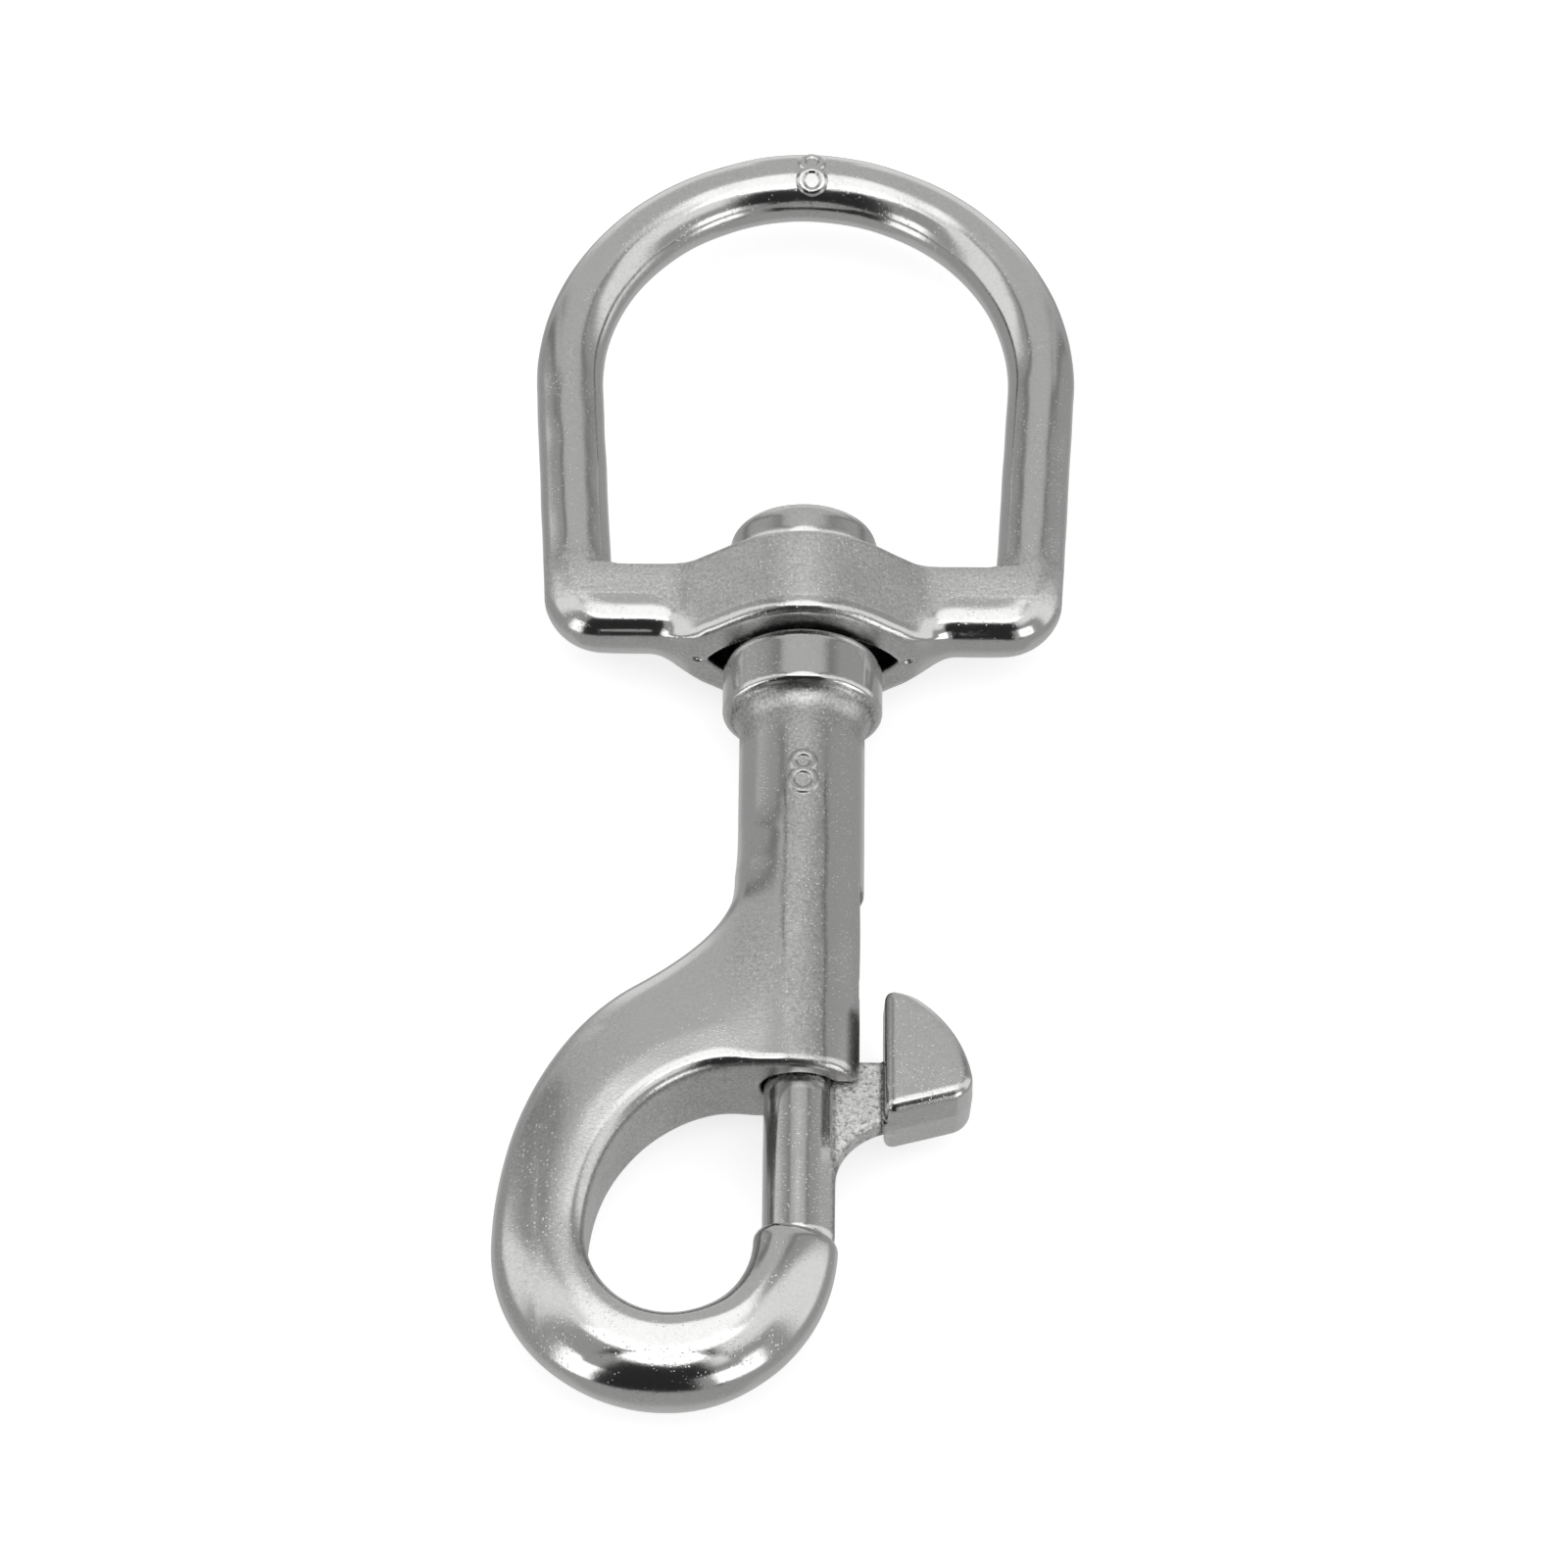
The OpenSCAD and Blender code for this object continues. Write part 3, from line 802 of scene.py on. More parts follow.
@dataclass
class HookBody(Solid):
    """Collar, barrel and hook with its nose, one casting with a bore and a slot.

    The hook's section stands on two outlines, the opening and the outer edge: a flat
    inner wall with a rounded edge, then a full round outer side.
    """

    name: str = "hook_casting"
    body: Body = Body.HOOK
    slot: Slot = Slot.CAST
    stands_for: tuple[str, ...] = ("hook_body",)
    collar_top: float = -29.05
    collar_r: float = 6.85
    collar_h: float = 5.35
    collar_edge_r: float = 1.3
    crease_r: float = 6.75
    crease_edge_r: float = 0.4
    neck_h: float = 2.2
    barrel_r: float = 5.35
    mouth_y: float = -70.0
    mouth_edge_r: float = 0.8
    bore_r: float = 2.98
    bore_chamfer: float = 0.5
    slot_half_w: float = 1.8
    slot_top: float = -51.9
    pin_r: float = 3.2
    pin_end: float = -36.7
    rim_r: float = 3.45
    rim_edge_r: float = 1.2
    rim_y: float = -83.5
    seat_y: float = -85.0
    seat_taper: float = 0.8
    bowl_x: float = -10.23
    bowl_rx: float = 6.9
    nose_rx: float = 6.65
    bowl_ry: float = 7.0
    bowl_y: float = -84.5
    bend_wall: float = 6.6
    back_wall: float = 7.7
    bend_half_t: float = 4.8
    nose_half_t: float = 4.5
    nose_edge_r: float = 2.2
    root_half_t: float = 5.3
    nose_taper: tuple[float, float, float] = (0.47, 0.42, 0.11)
    nose_waist: float = 0.2
    back_swell: float = 1.4
    shoulder_w: float = 17.0
    shoulder_h: float = 25.0
    shoulder_end: float = 68.0
    root_sweep: float = 9.5
    root_run: float = 1.6
    root_pull: tuple[float, float] = (4.6, 5.6)
    far_x: float = 16.0
    inner_edge_r: float = 1.4
    round_from: float = 0.3
    bend_round_from: float = 0.2
    blend: float = 1.2
    run_out_x: float = 1.5
    run_out_r: float = 3.0
    block: Box = ((-25.1, -98.5, -7.1), (7.2, -29.2, 7.1))
    pitch: float = 0.247
    fine_areas: tuple[Box, ...] = (((-2.2, -45.6, 3.0), (2.4, -39.8, 6.2)),)
    numeral: Numeral = Numeral(2.5, 4.1, 0.5, 0.18)
    figure_x: float = 0.1
    figure_y: float = -42.7
    waves: HandFinish = HandFinish(0.011, 6.0, 23)

    def __post_init__(self) -> None:
        """Draws the outlines of the hook and the half section of the barrel."""
        self.back_x = self.bowl_x - self.bowl_rx - self.back_wall
        self.crook_x = -self.barrel_r + 0.8
        self.split_y = self.mouth_y - 6
        self.crease_y = self.collar_top - self.collar_h
        self.neck_y = self.crease_y - self.neck_h
        self.opening = Plan(thicken_path(self._opening()))
        self.outer = Plan(thicken_path(self._outer()))
        self.turned = Plan(thicken_path(self._turned()), pitch=0.15)

    def _wall(self, a: float) -> float:
        """Width of the metal round the bowl, from the nose at 0 to the back at 180 degrees."""
        if a < 90:
            late, even, early = self.nose_taper
            turn = math.radians(a)
            taper = late * (1 - (a / 90) ** 4) + even * math.cos(turn) + early * (1 - a / 90) ** 4
            nose = self.bend_wall + (2 * self.rim_r - self.bend_wall) * taper
            return nose - self.nose_waist * math.sin(2 * turn)
        swell = max(math.sin(math.radians(a - 90)), 0.0) ** self.back_swell
        return self.bend_wall + (self.back_wall - self.bend_wall) * swell

    def _bowl(self, a: float, out: float = 0.0) -> tuple[float, float]:
        """Point at an angle round the bowl, some way outside its inner edge."""
        c, s = math.cos(math.radians(a)), math.sin(math.radians(a))
        rx = self.nose_rx if a < 90 else self.bowl_rx
        return self.bowl_x + rx * c + out * c, self.bowl_y - self.bowl_ry * s - out * s

    def _opening(self) -> list[tuple[float, float]]:
        """Outline of the opening, closed past the mouth and above the nose."""
        rise = [(self.crook_x + (self.bowl_x - self.bowl_rx - self.crook_x) * math.cos(a),
                 self.bowl_y + (self.mouth_y - self.bowl_y) * math.sin(a))
                for a in np.radians(np.linspace(0, 90, 61))[1:]]
        close = [(self.far_x, self.mouth_y), (self.far_x, self.mouth_y - 4), (-self.rim_r, self.mouth_y - 4)]
        return [self._bowl(a) for a in np.linspace(0, 180, 121)] + rise + close

    def _shoulder(self, a: float) -> Array:
        """Point of the round shoulder, at an angle from the back."""
        turn = math.radians(a)
        return np.array([self.back_x + self.shoulder_w * (1 - math.cos(turn)),
                         self.bowl_y + self.shoulder_h * math.sin(turn)])

    def _outer(self) -> list[tuple[float, float]]:
        """Outer outline of the hook, swept into the barrel and closed inside it."""
        bowl = [self._bowl(a, self._wall(a)) for a in np.linspace(0, 180, 121)]
        rise = [self._shoulder(a) for a in np.linspace(0, self.shoulder_end, 61)[1:]]
        leave = self._shoulder(self.shoulder_end)
        slope = self._shoulder(self.shoulder_end + 1) - self._shoulder(self.shoulder_end - 1)
        top = np.array([-self.barrel_r, leave[1] + self.root_sweep + self.root_run])
        first = leave + slope * (self.root_pull[0] / np.linalg.norm(slope))
        second = top - [0, self.root_pull[1]]
        sweep = [(1 - k) ** 3 * leave + 3 * (1 - k) ** 2 * k * first + 3 * (1 - k) * k * k * second
                 + k ** 3 * top for k in np.linspace(0, 1, 41)[1:]]
        # The rest lies inside the barrel or past it and doesn't show.
        close = [(-4.6, -47.0), (-2.6, -44.0), (self.far_x, -42.0), (self.far_x, self.mouth_y),
                 (self.rim_r, self.split_y)]
        return bowl + [tuple(point) for point in rise + sweep] + close

    def _turned(self) -> list[tuple[float, float]]:
        """Half section of collar and barrel as radius and height, run out below the mouth."""
        neck = [(self.barrel_r + (self.crease_r - self.barrel_r) * (1 - math.cos(a)),
                 self.neck_y + self.neck_h * math.sin(a)) for a in np.radians(np.linspace(0, 90, 17))]
        rim = arc_points(self.collar_r - self.crease_edge_r, self.crease_y + self.crease_edge_r,
                         self.crease_edge_r, -80, 0, 8)
        top = arc_points(self.collar_r - self.collar_edge_r, self.collar_top - self.collar_edge_r,
                         self.collar_edge_r, 0, 90, 16)
        right = [(self.barrel_r, self.mouth_y - 2)] + neck[:-1] + rim + top
        return right + [(-px, py) for px, py in reversed(right)]

    def shape(self, x: Array, y: Array, z: Array) -> Array:
        """Field of the whole casting."""
        radius = np.hypot(x, z)
        d_in, d_out = self.opening.at(x, y), -self.outer.at(x, y)
        width = np.maximum(d_in + d_out, 1.0)
        upper = ease(y, self.bowl_y, self.mouth_y)
        start = self.bend_round_from + (self.round_from - self.bend_round_from) * upper
        hook = half_oval(d_in, width, start, z, self._half_t(x, y))
        hook = np.where(y > self.split_y, round_max(hook, x - self.run_out_x, self.run_out_r), hook)
        barrel = self.turned.at(radius, y)
        side = smooth_min(hook, barrel, self.blend)
        edge = self.inner_edge_r + np.where(
            y < self.split_y, (self.nose_edge_r - self.inner_edge_r) * ease(x, -9.0, -self.rim_r),
            (self.mouth_edge_r - self.inner_edge_r) * ease(x, -7.0, -3.0))
        body = round_max(side, -d_in, edge)
        gap = np.maximum(np.maximum(self.rim_y - y, y - self.mouth_y + 2), -self.rim_r - 0.6 - x)
        body = round_max(body, -gap, self.rim_edge_r)
        body = round_max(body, -self._cuts(x, y, z, radius), 0.2)
        across, up = self.barrel_r * np.arctan2(x, z) - self.figure_x, y - self.figure_y
        body = body - self.numeral.lift(across, up) * ((z > 0) & (radius > 4.2) & (np.abs(up) < 3))
        return body - self.waves.wave(x, y, z)

    def _half_t(self, x: Array, y: Array) -> Array:
        """Half thickness of the hook through the part."""
        a = np.degrees(np.arctan2((self.bowl_y - y) / self.bowl_ry, (x - self.bowl_x) / self.bowl_rx))
        a = np.where((x < self.bowl_x) & (a < 0), 180.0, np.maximum(a, 0.0))
        k = np.minimum(1.0, a / 70.0)
        round_part = self.nose_half_t + (self.bend_half_t - self.nose_half_t) * k * (2 - k)
        rise = ease(y, self.bowl_y, self.mouth_y + 4)
        full = self.bend_half_t + (self.root_half_t - self.bend_half_t) * rise
        return np.where((y > self.split_y) | (x < self.bowl_x), full, round_part)

    def _cuts(self, x: Array, y: Array, z: Array, radius: Array) -> Array:
        """Field of everything that is cut away: pin hole, bore, slot and seat."""
        past_mouth = self.mouth_y - 1 - y
        pin = np.maximum(radius - self.pin_r, self.pin_end - y)
        bore = np.maximum(np.maximum(radius - self.bore_r, y - self.pin_end - 0.2), past_mouth)
        flare = (radius - self.bore_r - (self.mouth_y + self.bore_chamfer - y)) * 0.7
        bore = np.minimum(bore, np.maximum(flare, past_mouth))
        slot = np.maximum(np.abs(z) - self.slot_half_w, y - self.slot_top)
        slot = np.maximum(slot, np.maximum(-x, past_mouth))
        taper = self.seat_taper * np.maximum(self.rim_y - y, 0.0) / (self.rim_y - self.seat_y)
        cone = radius - self.bore_r + taper
        seat = np.maximum(np.maximum(cone * 0.85, self.seat_y - y), y - self.mouth_y + 1)
        return np.minimum(np.minimum(pin, bore), np.minimum(slot, seat))

    def wear_and_shade(self, x: Array, y: Array, z: Array) -> tuple[Array, Array]:
        """Shares of cast skin and of darkening: inner walls, neck, root and a band down the barrel are rough,
        the bore, slot and seat hold painted shade.
        """
        radius, front = np.hypot(x, z), z > 0
        up, down = y - self.mouth_y, y - self.neck_y
        stray = 0.35 + 0.05 * np.sin(0.6 * y) + 0.03 * np.sin(1.9 * y + 1.0)
        turn = self.barrel_r * np.arctan2(x, z) - stray
        along = ease(up, -0.3, 0.3) * fade(down, -2.4, -1.0) * front
        band = fade(np.abs(turn), 1.45, 1.8) * along
        ends = fade(y - self.figure_y, -1.3, 0.7) * np.where(turn < 0.0, ease(up, 6.0, 13.0), 1.0)
        border = hump(np.abs(turn), 1.72, 0.17) * along * ends
        neck = ease(down, -2.0, -0.6) * fade(y - self.crease_y, -0.3, 0.1)
        crease = hump(y, self.crease_y - 0.35, 0.22)
        wall = fade(self.opening.at(x, y), 0.05, 0.5) * (up < 0.4)
        root = hump(x, -3.6, 2.0) * hump(up, 9.0, 5.5) * front
        stain = hump(x, -6.3, 0.9) * hump(up, 15.4, 0.8) * front
        # Inside the bore, on the slot's walls and in the seat the metal is darkened as painted shade.
        inside = fade(radius - self.bore_r, 0.12, 0.32) * (up > 0) * (y < self.collar_top - 1.45)
        sides = (np.abs(z) < self.slot_half_w + 0.05) * (x > 0) * fade(radius - self.barrel_r, -0.2, -0.05)
        slit = sides * (up > 0) * (y < self.slot_top + 0.3)
        seat = (radius < self.bore_r + 0.07) * (y < self.rim_y + 0.2) * (y > self.seat_y - 0.3)
        flank = ease(-x, 13.0, 17.0) * ease(y - self.bowl_y, -11.5, -3.5)
        lip = ease(x, 3.6, 4.6) * ease(up, -1.0, 0.0) * fade(up, 7.0, 11.0)
        skin = 0.15 + 0.75 * np.maximum.reduce([band, 1.3 * neck, wall, root, 0.45 * flank, lip])
        # Soil on the rough skin, darker band borders, a stain, a darker line in the crease and painted shade
        # in the bore, slot and seat.
        soot_and_shade = np.maximum.reduce([0.42 * border, 0.1 * band, 0.5 * crease, 0.45 * stain, 0.15 * root, inside,
                                  0.7 * slit, 0.8 * seat, 0.16 * wall, 0.2 * neck])
        return skin, soot_and_shade


@dataclass
class SwivelPin(Solid):
    """Headed pin on which the eye turns."""

    name: str = "swivel_pin_turned"
    body: Body = Body.HOOK
    slot: Slot = Slot.TURNED
    stands_for: tuple[str, ...] = ("swivel_pin",)
    shank_r: float = 3.19
    head_r: float = 6.4
    head_base: float = -20.7
    head_top: float = -16.6
    end: float = -36.65
    crown: float = 0.5
    top_edge_r: float = 1.6
    base_edge_r: float = 1.75
    block: Box = ((-6.6, -37.0, -6.6), (6.6, -16.3, 6.6))
    pitch: float = 0.17
    waves: HandFinish = HandFinish(0.01, 4.5, 5)

    def shape(self, x: Array, y: Array, z: Array) -> Array:
        """Field of the pin."""
        radius = np.hypot(x, z)
        crown = self.head_top + self.crown - 0.05 * (radius / self.head_r) ** 2
        head = round_max(radius - self.head_r, y - crown, self.top_edge_r)
        head = round_max(head, self.head_base - y, self.base_edge_r)
        shank = round_max(radius - self.shank_r, self.end - y, 0.3)
        return np.minimum(head, np.maximum(shank, y - self.head_base - 1)) - self.waves.wave(x, y, z)

    def wear_and_shade(self, x: Array, y: Array, z: Array) -> tuple[Array, Array]:
        """Shares of cast skin and of darkening: the shank under the eye is darkened as painted shade."""
        return 0.0 * x + 0.4, fade(y - self.head_base, -6.3, -5.3)


@dataclass
class Bolt(Solid):
    """Round bolt with its thumb piece on a web that is left as cast."""

    name: str = "bolt_casting"
    body: Body = Body.BOLT
    slot: Slot = Slot.CAST
    stands_for: tuple[str, ...] = ("bolt",)
    rod_r: float = 2.9
    tip_y: float = -84.85
    taper_y: float = -83.35
    tip_taper: float = 0.8
    guide_y: float = -58.7
    web_half_t: float = 1.3
    web_top: float = -67.7
    hollow_r: float = 5.5
    thumb_x: float = 7.0
    thumb_w: float = 7.4
    thumb_l: float = 11.7
    thumb_base: float = -73.6
    thumb_slope: float = 15.0
    thumb_arc_r: float = 10.9
    thumb_half_t: float = 3.8
    thumb_corner_r: float = 1.0
    thumb_heel_r: float = 1.7
    thumb_edge_r: float = 0.95
    thumb_back_edge_r: float = 0.4
    thumb_draft: float = 0.035
    thumb_lean: float = 0.035
    block: Box = ((-3.1, -85.1, -4.1), (14.7, -58.4, 4.1))
    pitch: float = 0.15
    waves: HandFinish = HandFinish(0.006, 4.0, 31)

    def shape(self, x: Array, y: Array, z: Array) -> Array:
        """Field of the bolt."""
        radius = np.hypot(x, z)
        taper = self.tip_taper * np.clip((self.taper_y - y) / (self.taper_y - self.tip_y), 0.0, 1.0)
        rod = round_max(radius - self.rod_r + taper, self.tip_y - y, 0.3)
        rod = round_max(rod, y - self.guide_y, 0.4)
        both = smooth_min(rod, self._web(x, y, z), 0.9)
        return smooth_min(both, self._thumb(x, y, z), 0.5) - self.waves.wave(x, y, z)

    def _web(self, x: Array, y: Array, z: Array) -> Array:
        """Field of the web, hollowed from below."""
        cx, cy = self.rod_r + self.hollow_r, self.thumb_base + 0.35 - self.hollow_r
        arch = self.hollow_r - np.hypot(x - cx, np.maximum(y - cy, 0.0))
        hollow = np.where(x < cx, arch, cy + self.hollow_r - y)
        flat = np.maximum(np.maximum(hollow, y - self.web_top), x - self.thumb_x - 0.8)
        return round_max(np.maximum(flat, -x), np.abs(z) - self.web_half_t, 0.55)

    def _thumb(self, x: Array, y: Array, z: Array) -> Array:
        """Field of the thumb piece."""
        slope = math.radians(self.thumb_slope)
        corner_x = self.thumb_x + self.thumb_w
        corner_y = self.thumb_base + self.thumb_w * math.tan(slope)
        arc = np.hypot(x - corner_x + self.thumb_arc_r, y - corner_y) - self.thumb_arc_r
        base = (self.thumb_base - y + (x - self.thumb_x) * math.tan(slope)) * math.cos(slope)
        r = self.thumb_corner_r
        flat = round_max(arc, base, self.thumb_heel_r)
        flat = round_max(flat, self.thumb_x - x, r)
        flat = round_max(flat, y - self.thumb_base - self.thumb_l, r)
        flat = flat + self.thumb_draft * (np.abs(z) - 1.5)
        edge = self.thumb_back_edge_r + (self.thumb_edge_r - self.thumb_back_edge_r) * ease(z, -1.0, 1.0)
        lean = self.thumb_lean * (y - self.thumb_base - 1.0)
        return round_max(flat, np.abs(z) - self.thumb_half_t + lean, edge)

    def wear_and_shade(self, x: Array, y: Array, z: Array) -> tuple[Array, Array]:
        """Shares of cast skin and of darkening: the web is as cast, with painted shade where it meets the rod
        and the thumb.
        """
        off = np.hypot(x, z) - self.rod_r
        before = fade(x, self.thumb_x - 0.15, self.thumb_x + 0.05)
        web = ease(off, 0.05, 0.35) * before * fade(np.abs(z), self.web_half_t + 0.05, self.web_half_t + 0.35)
        # Where the web meets the rod and the thumb it is darkened as painted shade.
        ends = np.maximum(fade(off, 0.2, 0.6), ease(x, self.thumb_x - 0.5, self.thumb_x - 0.15))
        side = hump(x, self.thumb_x, 0.16) * (np.abs(z) < self.thumb_half_t - 0.2)
        return 0.15 + 1.85 * web + 0.25 * (x > self.thumb_x), np.maximum(0.7 * web * ends, 0.3 * side)


@dataclass
class Spring(Piece):
    """Coil spring in the barrel, wound by a Geometry Nodes tree with closed end turns."""

    name: str = "spring_coil"
    body: Body = Body.HOOK
    slot: Slot = Slot.SPRING
    stands_for: tuple[str, ...] = ("spring",)
    wire_r: float = 0.3
    path_r: float = 2.43
    turns: float = 10.0
    low: float = -58.3
    high: float = -37.1
    fixed_y: float = -36.8
    travel: float = 15.0
    steps_per_turn: int = 40
    wire_sides: int = 14
    closed_pitch: float = 2.2

    def sizes(self) -> dict[str, float]:
        """Values of the tree's inputs, lengths in metres."""
        return {"Turns": self.turns, "Path Radius": self.path_r * MM, "Wire Radius": self.wire_r * MM,
                "Low End": self.low * MM, "High End": self.high * MM}

    def tree(self, finish: bpy.types.Material) -> bpy.types.GeometryNodeTree:
        """Builds the tree that winds the wire.

        Args:
            finish: Material of the wire.

        Returns:
            The tree, with its sizes in metres as named inputs.
        """
        tree = bpy.data.node_groups.new("coil_winding", "GeometryNodeTree")
        tree.interface.new_socket("Geometry", in_out="INPUT", socket_type="NodeSocketGeometry")
        for label, value in self.sizes().items():
            socket = tree.interface.new_socket(label, in_out="INPUT", socket_type="NodeSocketFloat")
            socket.default_value = value
        tree.interface.new_socket("Geometry", in_out="OUTPUT", socket_type="NodeSocketGeometry")
        t = Tree(tree)
        entry = t.add("NodeGroupInput").outputs
        steps = t.times(entry["Turns"], float(self.steps_per_turn))
        line = t.add("GeometryNodeCurvePrimitiveLine", {"End": (0.0, 1.0, 0.0)})
        line = t.add("GeometryNodeResampleCurve", {"Curve": line.outputs[0], "Count": steps})
        along = t.add("GeometryNodeSplineParameter").outputs["Factor"]
        angle = t.times(t.times(along, entry["Turns"]), -2 * math.pi)
        height = t.minus(entry["High End"], entry["Low End"])
        rise = self._rise(t, along, entry, height)
        place = t.add("ShaderNodeCombineXYZ", {
            "X": t.times(entry["Path Radius"], t.math("COSINE", angle)),
            "Y": t.plus(entry["Low End"], t.times(height, rise)),
            "Z": t.times(entry["Path Radius"], t.math("SINE", angle))})
        path = t.add("GeometryNodeSetPosition", {"Geometry": line.outputs[0], "Position": place.outputs[0]})
        ring = t.add("GeometryNodeCurvePrimitiveCircle", {
            "Resolution": self.wire_sides, "Radius": entry["Wire Radius"]})
        wire = t.add("GeometryNodeCurveToMesh", {
            "Curve": path.outputs[0], "Profile Curve": ring.outputs["Curve"], "Fill Caps": True})
        smooth = t.add("GeometryNodeSetShadeSmooth", {"Geometry": wire.outputs[0]})
        real = t.add("GeometryNodeRealizeInstances", {"Geometry": smooth.outputs[0]})
        dressed = t.add("GeometryNodeSetMaterial", {"Geometry": real.outputs[0], "Material": finish})
        t.add("NodeGroupOutput", {0: dressed.outputs[0]})
        return tree

    def _rise(self, t: Tree, along: Socket, entry: bpy.types.NodeOutputs, height: Socket) -> Socket:
        """Share of the height that the wire has climbed, slow in its closed end turns."""
        end = t.math("DIVIDE", 1.0, entry["Turns"])
        far = t.minus(1.0, end)
        closed = t.math("DIVIDE", t.times(entry["Wire Radius"], self.closed_pitch), height)
        first = self._share(t, along, 0.0, end)
        middle = self._share(t, along, end, far)
        last = self._share(t, along, far, 1.0)
        open_share = t.minus(1.0, t.times(closed, 2.0))
        return t.plus(t.times(closed, t.plus(first, last)), t.times(open_share, middle))

    @staticmethod
    def _share(t: Tree, along: Socket, start: object, end: object) -> Socket:
        """Share of a stretch of the wire that lies behind each point."""
        return t.add("ShaderNodeMapRange", {"Value": along, "From Min": start, "From Max": end}).outputs[0]

    def make(self, finish: bpy.types.Material) -> bpy.types.Object:
        """Winds the spring, turns it into a plain mesh and places it."""
        holder = bpy.data.objects.new("coil_holder", bpy.data.meshes.new("coil_holder"))
        bpy.context.scene.collection.objects.link(holder)
        tree = self.tree(finish)
        modifier = holder.modifiers.new("winding", "NODES")
        modifier.node_group = tree
        values = self.sizes()
        for item in tree.interface.items_tree:
            if item.in_out == "INPUT" and item.name in values:
                modifier[item.identifier] = values[item.name]
        evaluated = holder.evaluated_get(bpy.context.evaluated_depsgraph_get())
        mesh = bpy.data.meshes.new_from_object(evaluated)
        holder.modifiers.remove(modifier)
        bpy.data.objects.remove(holder)
        mesh.name = self.name
        coil = bpy.data.objects.new(self.name, mesh)
        bpy.context.scene.collection.objects.link(coil)
        self.place(coil, finish)
        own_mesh(coil)
        return coil


# Studio


@dataclass(frozen=True)
class Panel:
    """Soft panel or dark card of the studio, as a patch of the sky round the object.

    Attributes:
        azimuth: Direction of its middle, in degrees from the front towards the right.
        elevation: Height of its middle above the table, in degrees.
        half_w: Half its width, in degrees; 180 goes all the way round.
        half_h: Half its height, in degrees.
        level: Brightness, where 1 is white.
        edge: Half the width of its soft border, in degrees.
    """

    azimuth: float
    elevation: float
    half_w: float
    half_h: float
    level: float
    edge: float

    def paint(self, t: Tree, azimuth: Socket, elevation: Socket, under: object) -> Socket:
        """Lays the panel over what is behind it.

        Args:
            t: Tree of the world.
            azimuth: Azimuth of the direction that is looked at, in degrees.
            elevation: Its elevation, in degrees.
            under: Brightness of what is behind the panel.

        Returns:
            The brightness with the panel.
        """
        share = self._window(t, t.minus(elevation, self.elevation), self.half_h)
        if self.half_w < 180.0:
            turn = t.math("WRAP", t.minus(azimuth, self.azimuth), 180.0, -180.0)
            share = t.times(share, self._window(t, turn, self.half_w))
        return t.add("ShaderNodeMix", {0: share, 2: under, 3: self.level}).outputs[0]

    def _window(self, t: Tree, off: Socket, half: float) -> Socket:
        """Goes from 1 inside to 0 outside a half width."""
        return t.add("ShaderNodeMapRange", {
            "Value": t.math("ABSOLUTE", off), "From Min": half - self.edge, "From Max": half + self.edge,
            "To Min": 1.0, "To Max": 0.0}, interpolation_type="SMOOTHSTEP").outputs[0]


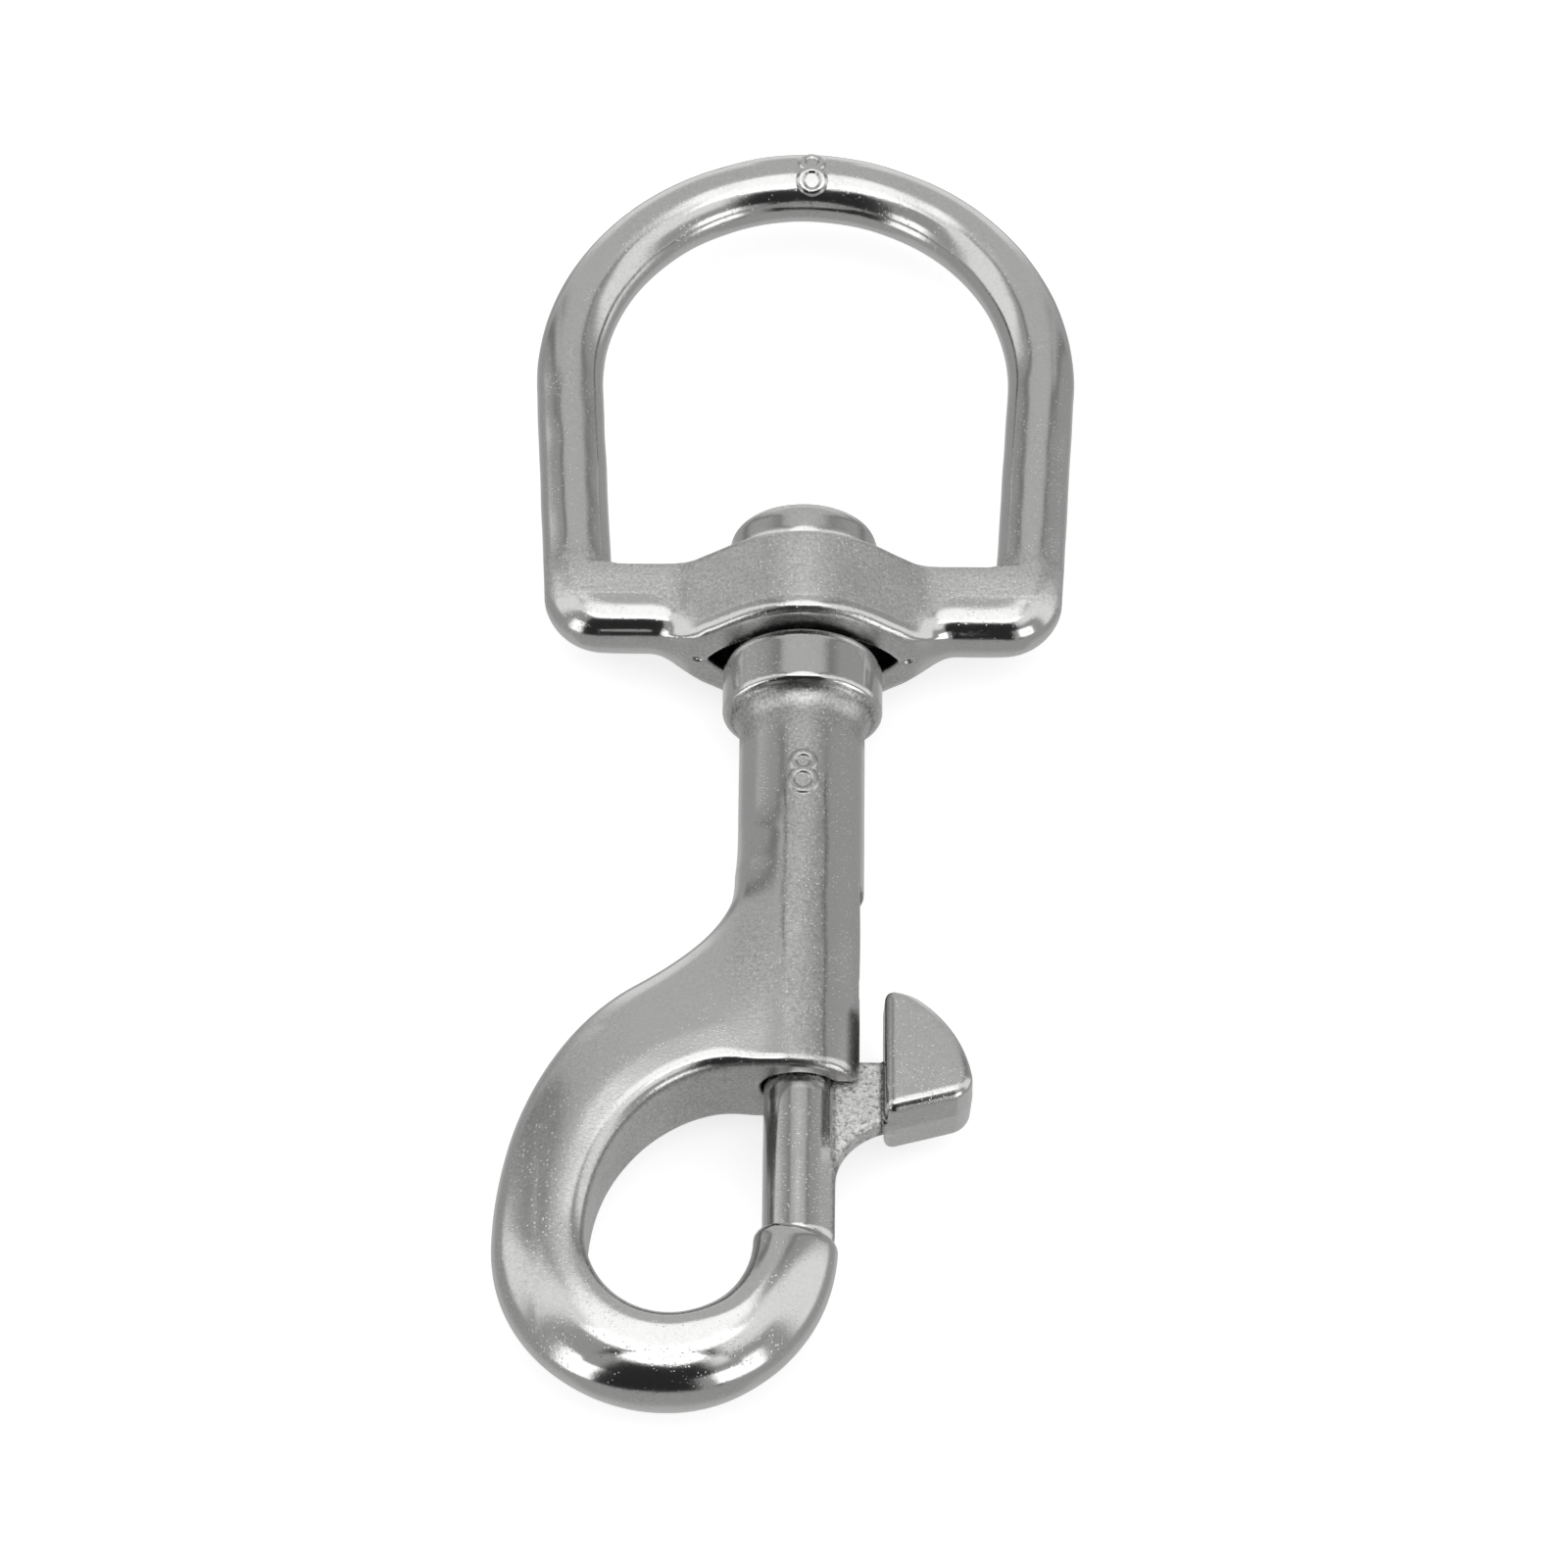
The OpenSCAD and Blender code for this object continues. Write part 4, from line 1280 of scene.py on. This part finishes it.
@dataclass
class Studio:
    """White table, soft lamps and the camera of the photograph.

    Attributes:
        table_z: Height of the table, in millimetres as the target.
        target: Point that the camera looks at.
        focus: Focal length in pixels of the photograph.
        scale: Pixels to a millimetre at the target.
        frame_px: Side of the photograph in pixels.
        sensor: Side of the camera's sensor, in millimetres.
        tilt: Angle between the view and straight down, in degrees.
        roll: Turn of the camera about its view, in degrees.
        wall_level: Brightness of the room between its panels.
        panels: Panels and cards, each over those before it.
    """

    table_z: float = -8.79
    target: tuple[float, float, float] = (-1.5, -40.96, 0.0)
    focus: float = 5500.0
    scale: float = 12.0
    frame_px: float = 1600.0
    sensor: float = 36.0
    tilt: float = 29.3
    roll: float = 0.65
    wall_level: float = 0.42
    panels: tuple[Panel, ...] = (
        Panel(180.0, 28.0, 42.0, 46.0, 0.6, 7.0),
        Panel(180.0, -12.0, 28.0, 18.0, 0.95, 6.0),
        Panel(0.0, -70.0, 180.0, 26.0, 0.56, 8.0),
        Panel(0.0, -44.0, 50.0, 20.0, 0.42, 8.0),
        Panel(-95.0, 33.0, 22.0, 34.0, 1.05, 6.0),
        Panel(92.0, 24.0, 20.0, 42.0, 1.05, 6.0),
        Panel(66.0, 50.0, 30.0, 14.0, 1.05, 6.0),
        Panel(-134.0, 25.0, 3.5, 34.0, 0.24, 3.0),
        Panel(132.0, 25.0, 3.5, 34.0, 0.26, 3.0),
        Panel(-3.0, 16.0, 34.0, 41.0, 0.03, 3.0),
        Panel(23.0, -8.0, 5.0, 22.0, 0.4, 3.5),
        Panel(-46.0, -2.0, 9.0, 22.0, 1.8, 2.0),
        Panel(40.0, -1.0, 12.0, 17.0, 2.0, 2.0),
        Panel(0.0, 90.0, 180.0, 22.0, 1.5, 3.5),
        Panel(0.0, 66.0, 70.0, 7.0, 2.0, 2.0),
    )

    def camera(self) -> None:
        """Sets the camera where the photograph was taken from."""
        data = bpy.data.cameras.new("photo_camera")
        data.sensor_width = self.sensor
        data.lens = self.sensor * self.focus / self.frame_px
        data.clip_start, data.clip_end = 0.01, 20.0
        t, a = math.radians(self.tilt), math.radians(self.roll)
        look = Vector((0.0, math.sin(t), -math.cos(t)))
        up = Vector((0.0, math.cos(t), math.sin(t)))
        side = Vector((1.0, 0.0, 0.0))
        right = side * math.cos(a) + up * math.sin(a)
        over = up * math.cos(a) - side * math.sin(a)
        made = bpy.data.objects.new("photo_camera", data)
        axes = Matrix((right, over, -look)).transposed().to_4x4()
        axes.translation = (Vector(self.target) - look * (self.focus / self.scale)) * MM
        made.matrix_world = axes
        bpy.context.scene.collection.objects.link(made)
        bpy.context.scene.camera = made

    def table(self) -> None:
        """Lays the white table, which the camera sees as white but for the object's shadow."""
        mesh = bpy.data.meshes.new("table")
        r = 3.0
        mesh.from_pydata([(-r, -r, 0), (r, -r, 0), (r, r, 0), (-r, r, 0)], [], [(0, 1, 2, 3)])
        made = bpy.data.objects.new("table", mesh)
        made.location.z = self.table_z * MM
        bpy.context.scene.collection.objects.link(made)
        material = bpy.data.materials.new("table_white")
        material.use_nodes = True
        t = Tree(material.node_tree)
        paint = t.add("ShaderNodeBsdfDiffuse", {"Color": (0.8, 0.8, 0.8, 1.0)})
        glow = t.add("ShaderNodeEmission", {"Color": (1.0, 1.0, 1.0, 1.0), "Strength": 0.6})
        seen = t.add("ShaderNodeAddShader", {0: paint.outputs[0], 1: glow.outputs[0]})
        t.add("ShaderNodeOutputMaterial", {"Surface": t.by_camera(paint.outputs[0], seen.outputs[0])})
        mesh.materials.append(material)
        made.visible_glossy = False

    def air(self) -> None:
        """Lights the room with its panels; the camera sees plain white behind the object."""
        world = bpy.data.worlds.new("studio_air")
        bpy.context.scene.world = world
        world.use_nodes = True
        t = Tree(world.node_tree)
        way = t.add("ShaderNodeSeparateXYZ", {0: t.add("ShaderNodeTexCoord").outputs["Generated"]}).outputs
        azimuth = t.math("DEGREES", t.math("ARCTAN2", way["X"], t.times(way["Y"], -1.0)))
        elevation = t.math("DEGREES", t.math("ARCSINE", way["Z"]))
        level: object = self.wall_level
        for panel in self.panels:
            level = panel.paint(t, azimuth, elevation, level)
        room = t.add("ShaderNodeBackground", {"Color": (1.0, 1.0, 1.0, 1.0), "Strength": level})
        white = t.add("ShaderNodeBackground", {"Color": (1.0, 1.0, 1.0, 1.0), "Strength": 1.0})
        t.add("ShaderNodeOutputWorld", {"Surface": t.by_camera(room.outputs[0], white.outputs[0])})

    def build(self) -> None:
        """Builds the studio and sets the plain view."""
        self.table()
        self.air()
        self.camera()
        bpy.context.scene.view_settings.view_transform = "Standard"
        log.info("studio: %d panels", len(self.panels))


def main() -> None:
    """Builds the finishes, the pieces and the studio in order."""
    logging.basicConfig(level=logging.INFO, format="%(name)s: %(message)s")
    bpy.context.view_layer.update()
    cast = SteelFinish("cast_steel_finish").build()
    turned = SteelFinish("turned_steel_finish", tone=0.66, grain=0.000008, specks=0.000004).build()
    wire = SteelFinish("spring_wire_finish", tone=0.55, gloss=0.25, grain=0.000002, specks=0.0,
                       wobble=0.0, hollow_shade=0.2).build()
    Eye().make(cast)
    HookBody().make(cast)
    SwivelPin().make(turned)
    Bolt().make(cast)
    Spring().make(wire)
    Studio().build()


if __name__ == "__main__":
    main()
